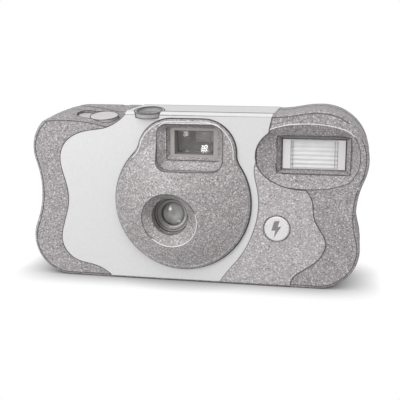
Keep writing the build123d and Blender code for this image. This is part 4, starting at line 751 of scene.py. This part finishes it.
def makeStage():
    material, tree, shader = newMaterial("matt white paper sweep")
    seen = seenRays(tree)
    # Painted contact shadow: the glow seen by the camera is dimmed by ambient occlusion
    shade = addNode(tree, "ShaderNodeAmbientOcclusion", {"Distance": stageLook["shadow"] * mm}, samples=16)
    glow = addNode(tree, "ShaderNodeMath", {0: seen, 1: shade.outputs["AO"]}, operation="MULTIPLY")
    paper = addNode(tree, "ShaderNodeMix", {"Factor": seen, first: linearColour(stageLook["paper"]),
                                            second: linearColour("#000000")}, data_type="RGBA")
    tree.links.new(paper.outputs[mixed], shader.inputs["Base Color"])
    tree.links.new(glow.outputs[0], shader.inputs["Emission Strength"])
    shader.inputs["Roughness"].default_value = stageLook["rough"]
    shader.inputs["Specular IOR Level"].default_value = 0.0
    shader.inputs["Emission Color"].default_value = linearColour("#ffffff")
    reach = stageLook["reach"]
    mesh = bpy.data.meshes.new("floor")
    mesh.from_pydata([(-reach, -reach, 0), (reach, -reach, 0), (reach, reach, 0), (-reach, reach, 0)], [],
                     [(0, 1, 2, 3)])
    mesh.materials.append(material)
    floor = bpy.data.objects.new("floor", mesh)
    bpy.context.scene.collection.objects.link(floor)
    floor.location.z = -stageLook["drop"]


def makeRoom():
    world = bpy.data.worlds.new("soft studio")
    bpy.context.scene.world = world
    world.use_nodes = True
    tree = world.node_tree
    tree.nodes.clear()
    output = tree.nodes.new("ShaderNodeOutputWorld")
    white = linearColour("#ffffff")
    room = addNode(tree, "ShaderNodeBackground", {"Color": white, "Strength": stageLook["room"]})
    card = addNode(tree, "ShaderNodeBackground", {"Color": white, "Strength": 1.0})
    mix = addNode(tree, "ShaderNodeMixShader", {0: seenRays(tree), 1: room.outputs[0], 2: card.outputs[0]})
    tree.links.new(mix.outputs[0], output.inputs[0])


# Softboxes, in metres and watts: key from the upper left, top, side, and a small one for the glint on the lens
lamps = {
    "key softbox": {"spot": (-0.33, -0.43, 0.28), "size": 0.25, "power": 1.48},
    "top softbox": {"spot": (0.05, -0.22, 0.5), "size": 0.3, "power": 1.15},
    "side softbox": {"spot": (0.75, -0.30, 0.25), "size": 0.4, "power": 0.8},
    "catch light": {"spot": (-0.22, -0.46, 0.08), "size": 0.1, "power": 0.5},
}
lampAim = Vector((0, 0, 0.03))


def addLamp(name, lamp):
    data = bpy.data.lights.new(name, "AREA")
    data.energy = lamp["power"]
    data.shape = "RECTANGLE"
    data.size = data.size_y = lamp["size"]
    made = bpy.data.objects.new(name, data)
    bpy.context.scene.collection.objects.link(made)
    made.location = lamp["spot"]
    made.rotation_euler = (lampAim - Vector(lamp["spot"])).to_track_quat("-Z", "Y").to_euler()


# The photograph's viewing angle: degrees, and mm
photoView = {"yaw": 10.9, "pitch": 12.07, "distance": 268.0, "target": (2.2, -14.0, 29.51), "lens": 69.95,
             "sensor": 36, "near": 10}


def makeCamera():
    yaw, pitch = math.radians(photoView["yaw"]), math.radians(photoView["pitch"])
    target = Vector(photoView["target"]) * mm
    away = Vector((math.sin(yaw) * math.cos(pitch), -math.cos(yaw) * math.cos(pitch), math.sin(pitch)))
    data = bpy.data.cameras.new("camera")
    data.lens = photoView["lens"]
    data.sensor_width = photoView["sensor"]
    data.clip_start = photoView["near"] * mm
    camera = bpy.data.objects.new("camera", data)
    bpy.context.scene.collection.objects.link(camera)
    camera.location = target + away * photoView["distance"] * mm
    camera.rotation_euler = (-away).to_track_quat("-Z", "Y").to_euler()
    bpy.context.scene.camera = camera


makeStage()
makeRoom()
for name, lamp in lamps.items():
    addLamp(name, lamp)
makeCamera()
bpy.context.scene.view_settings.view_transform = "Standard"
print("stage, lamps and camera made")
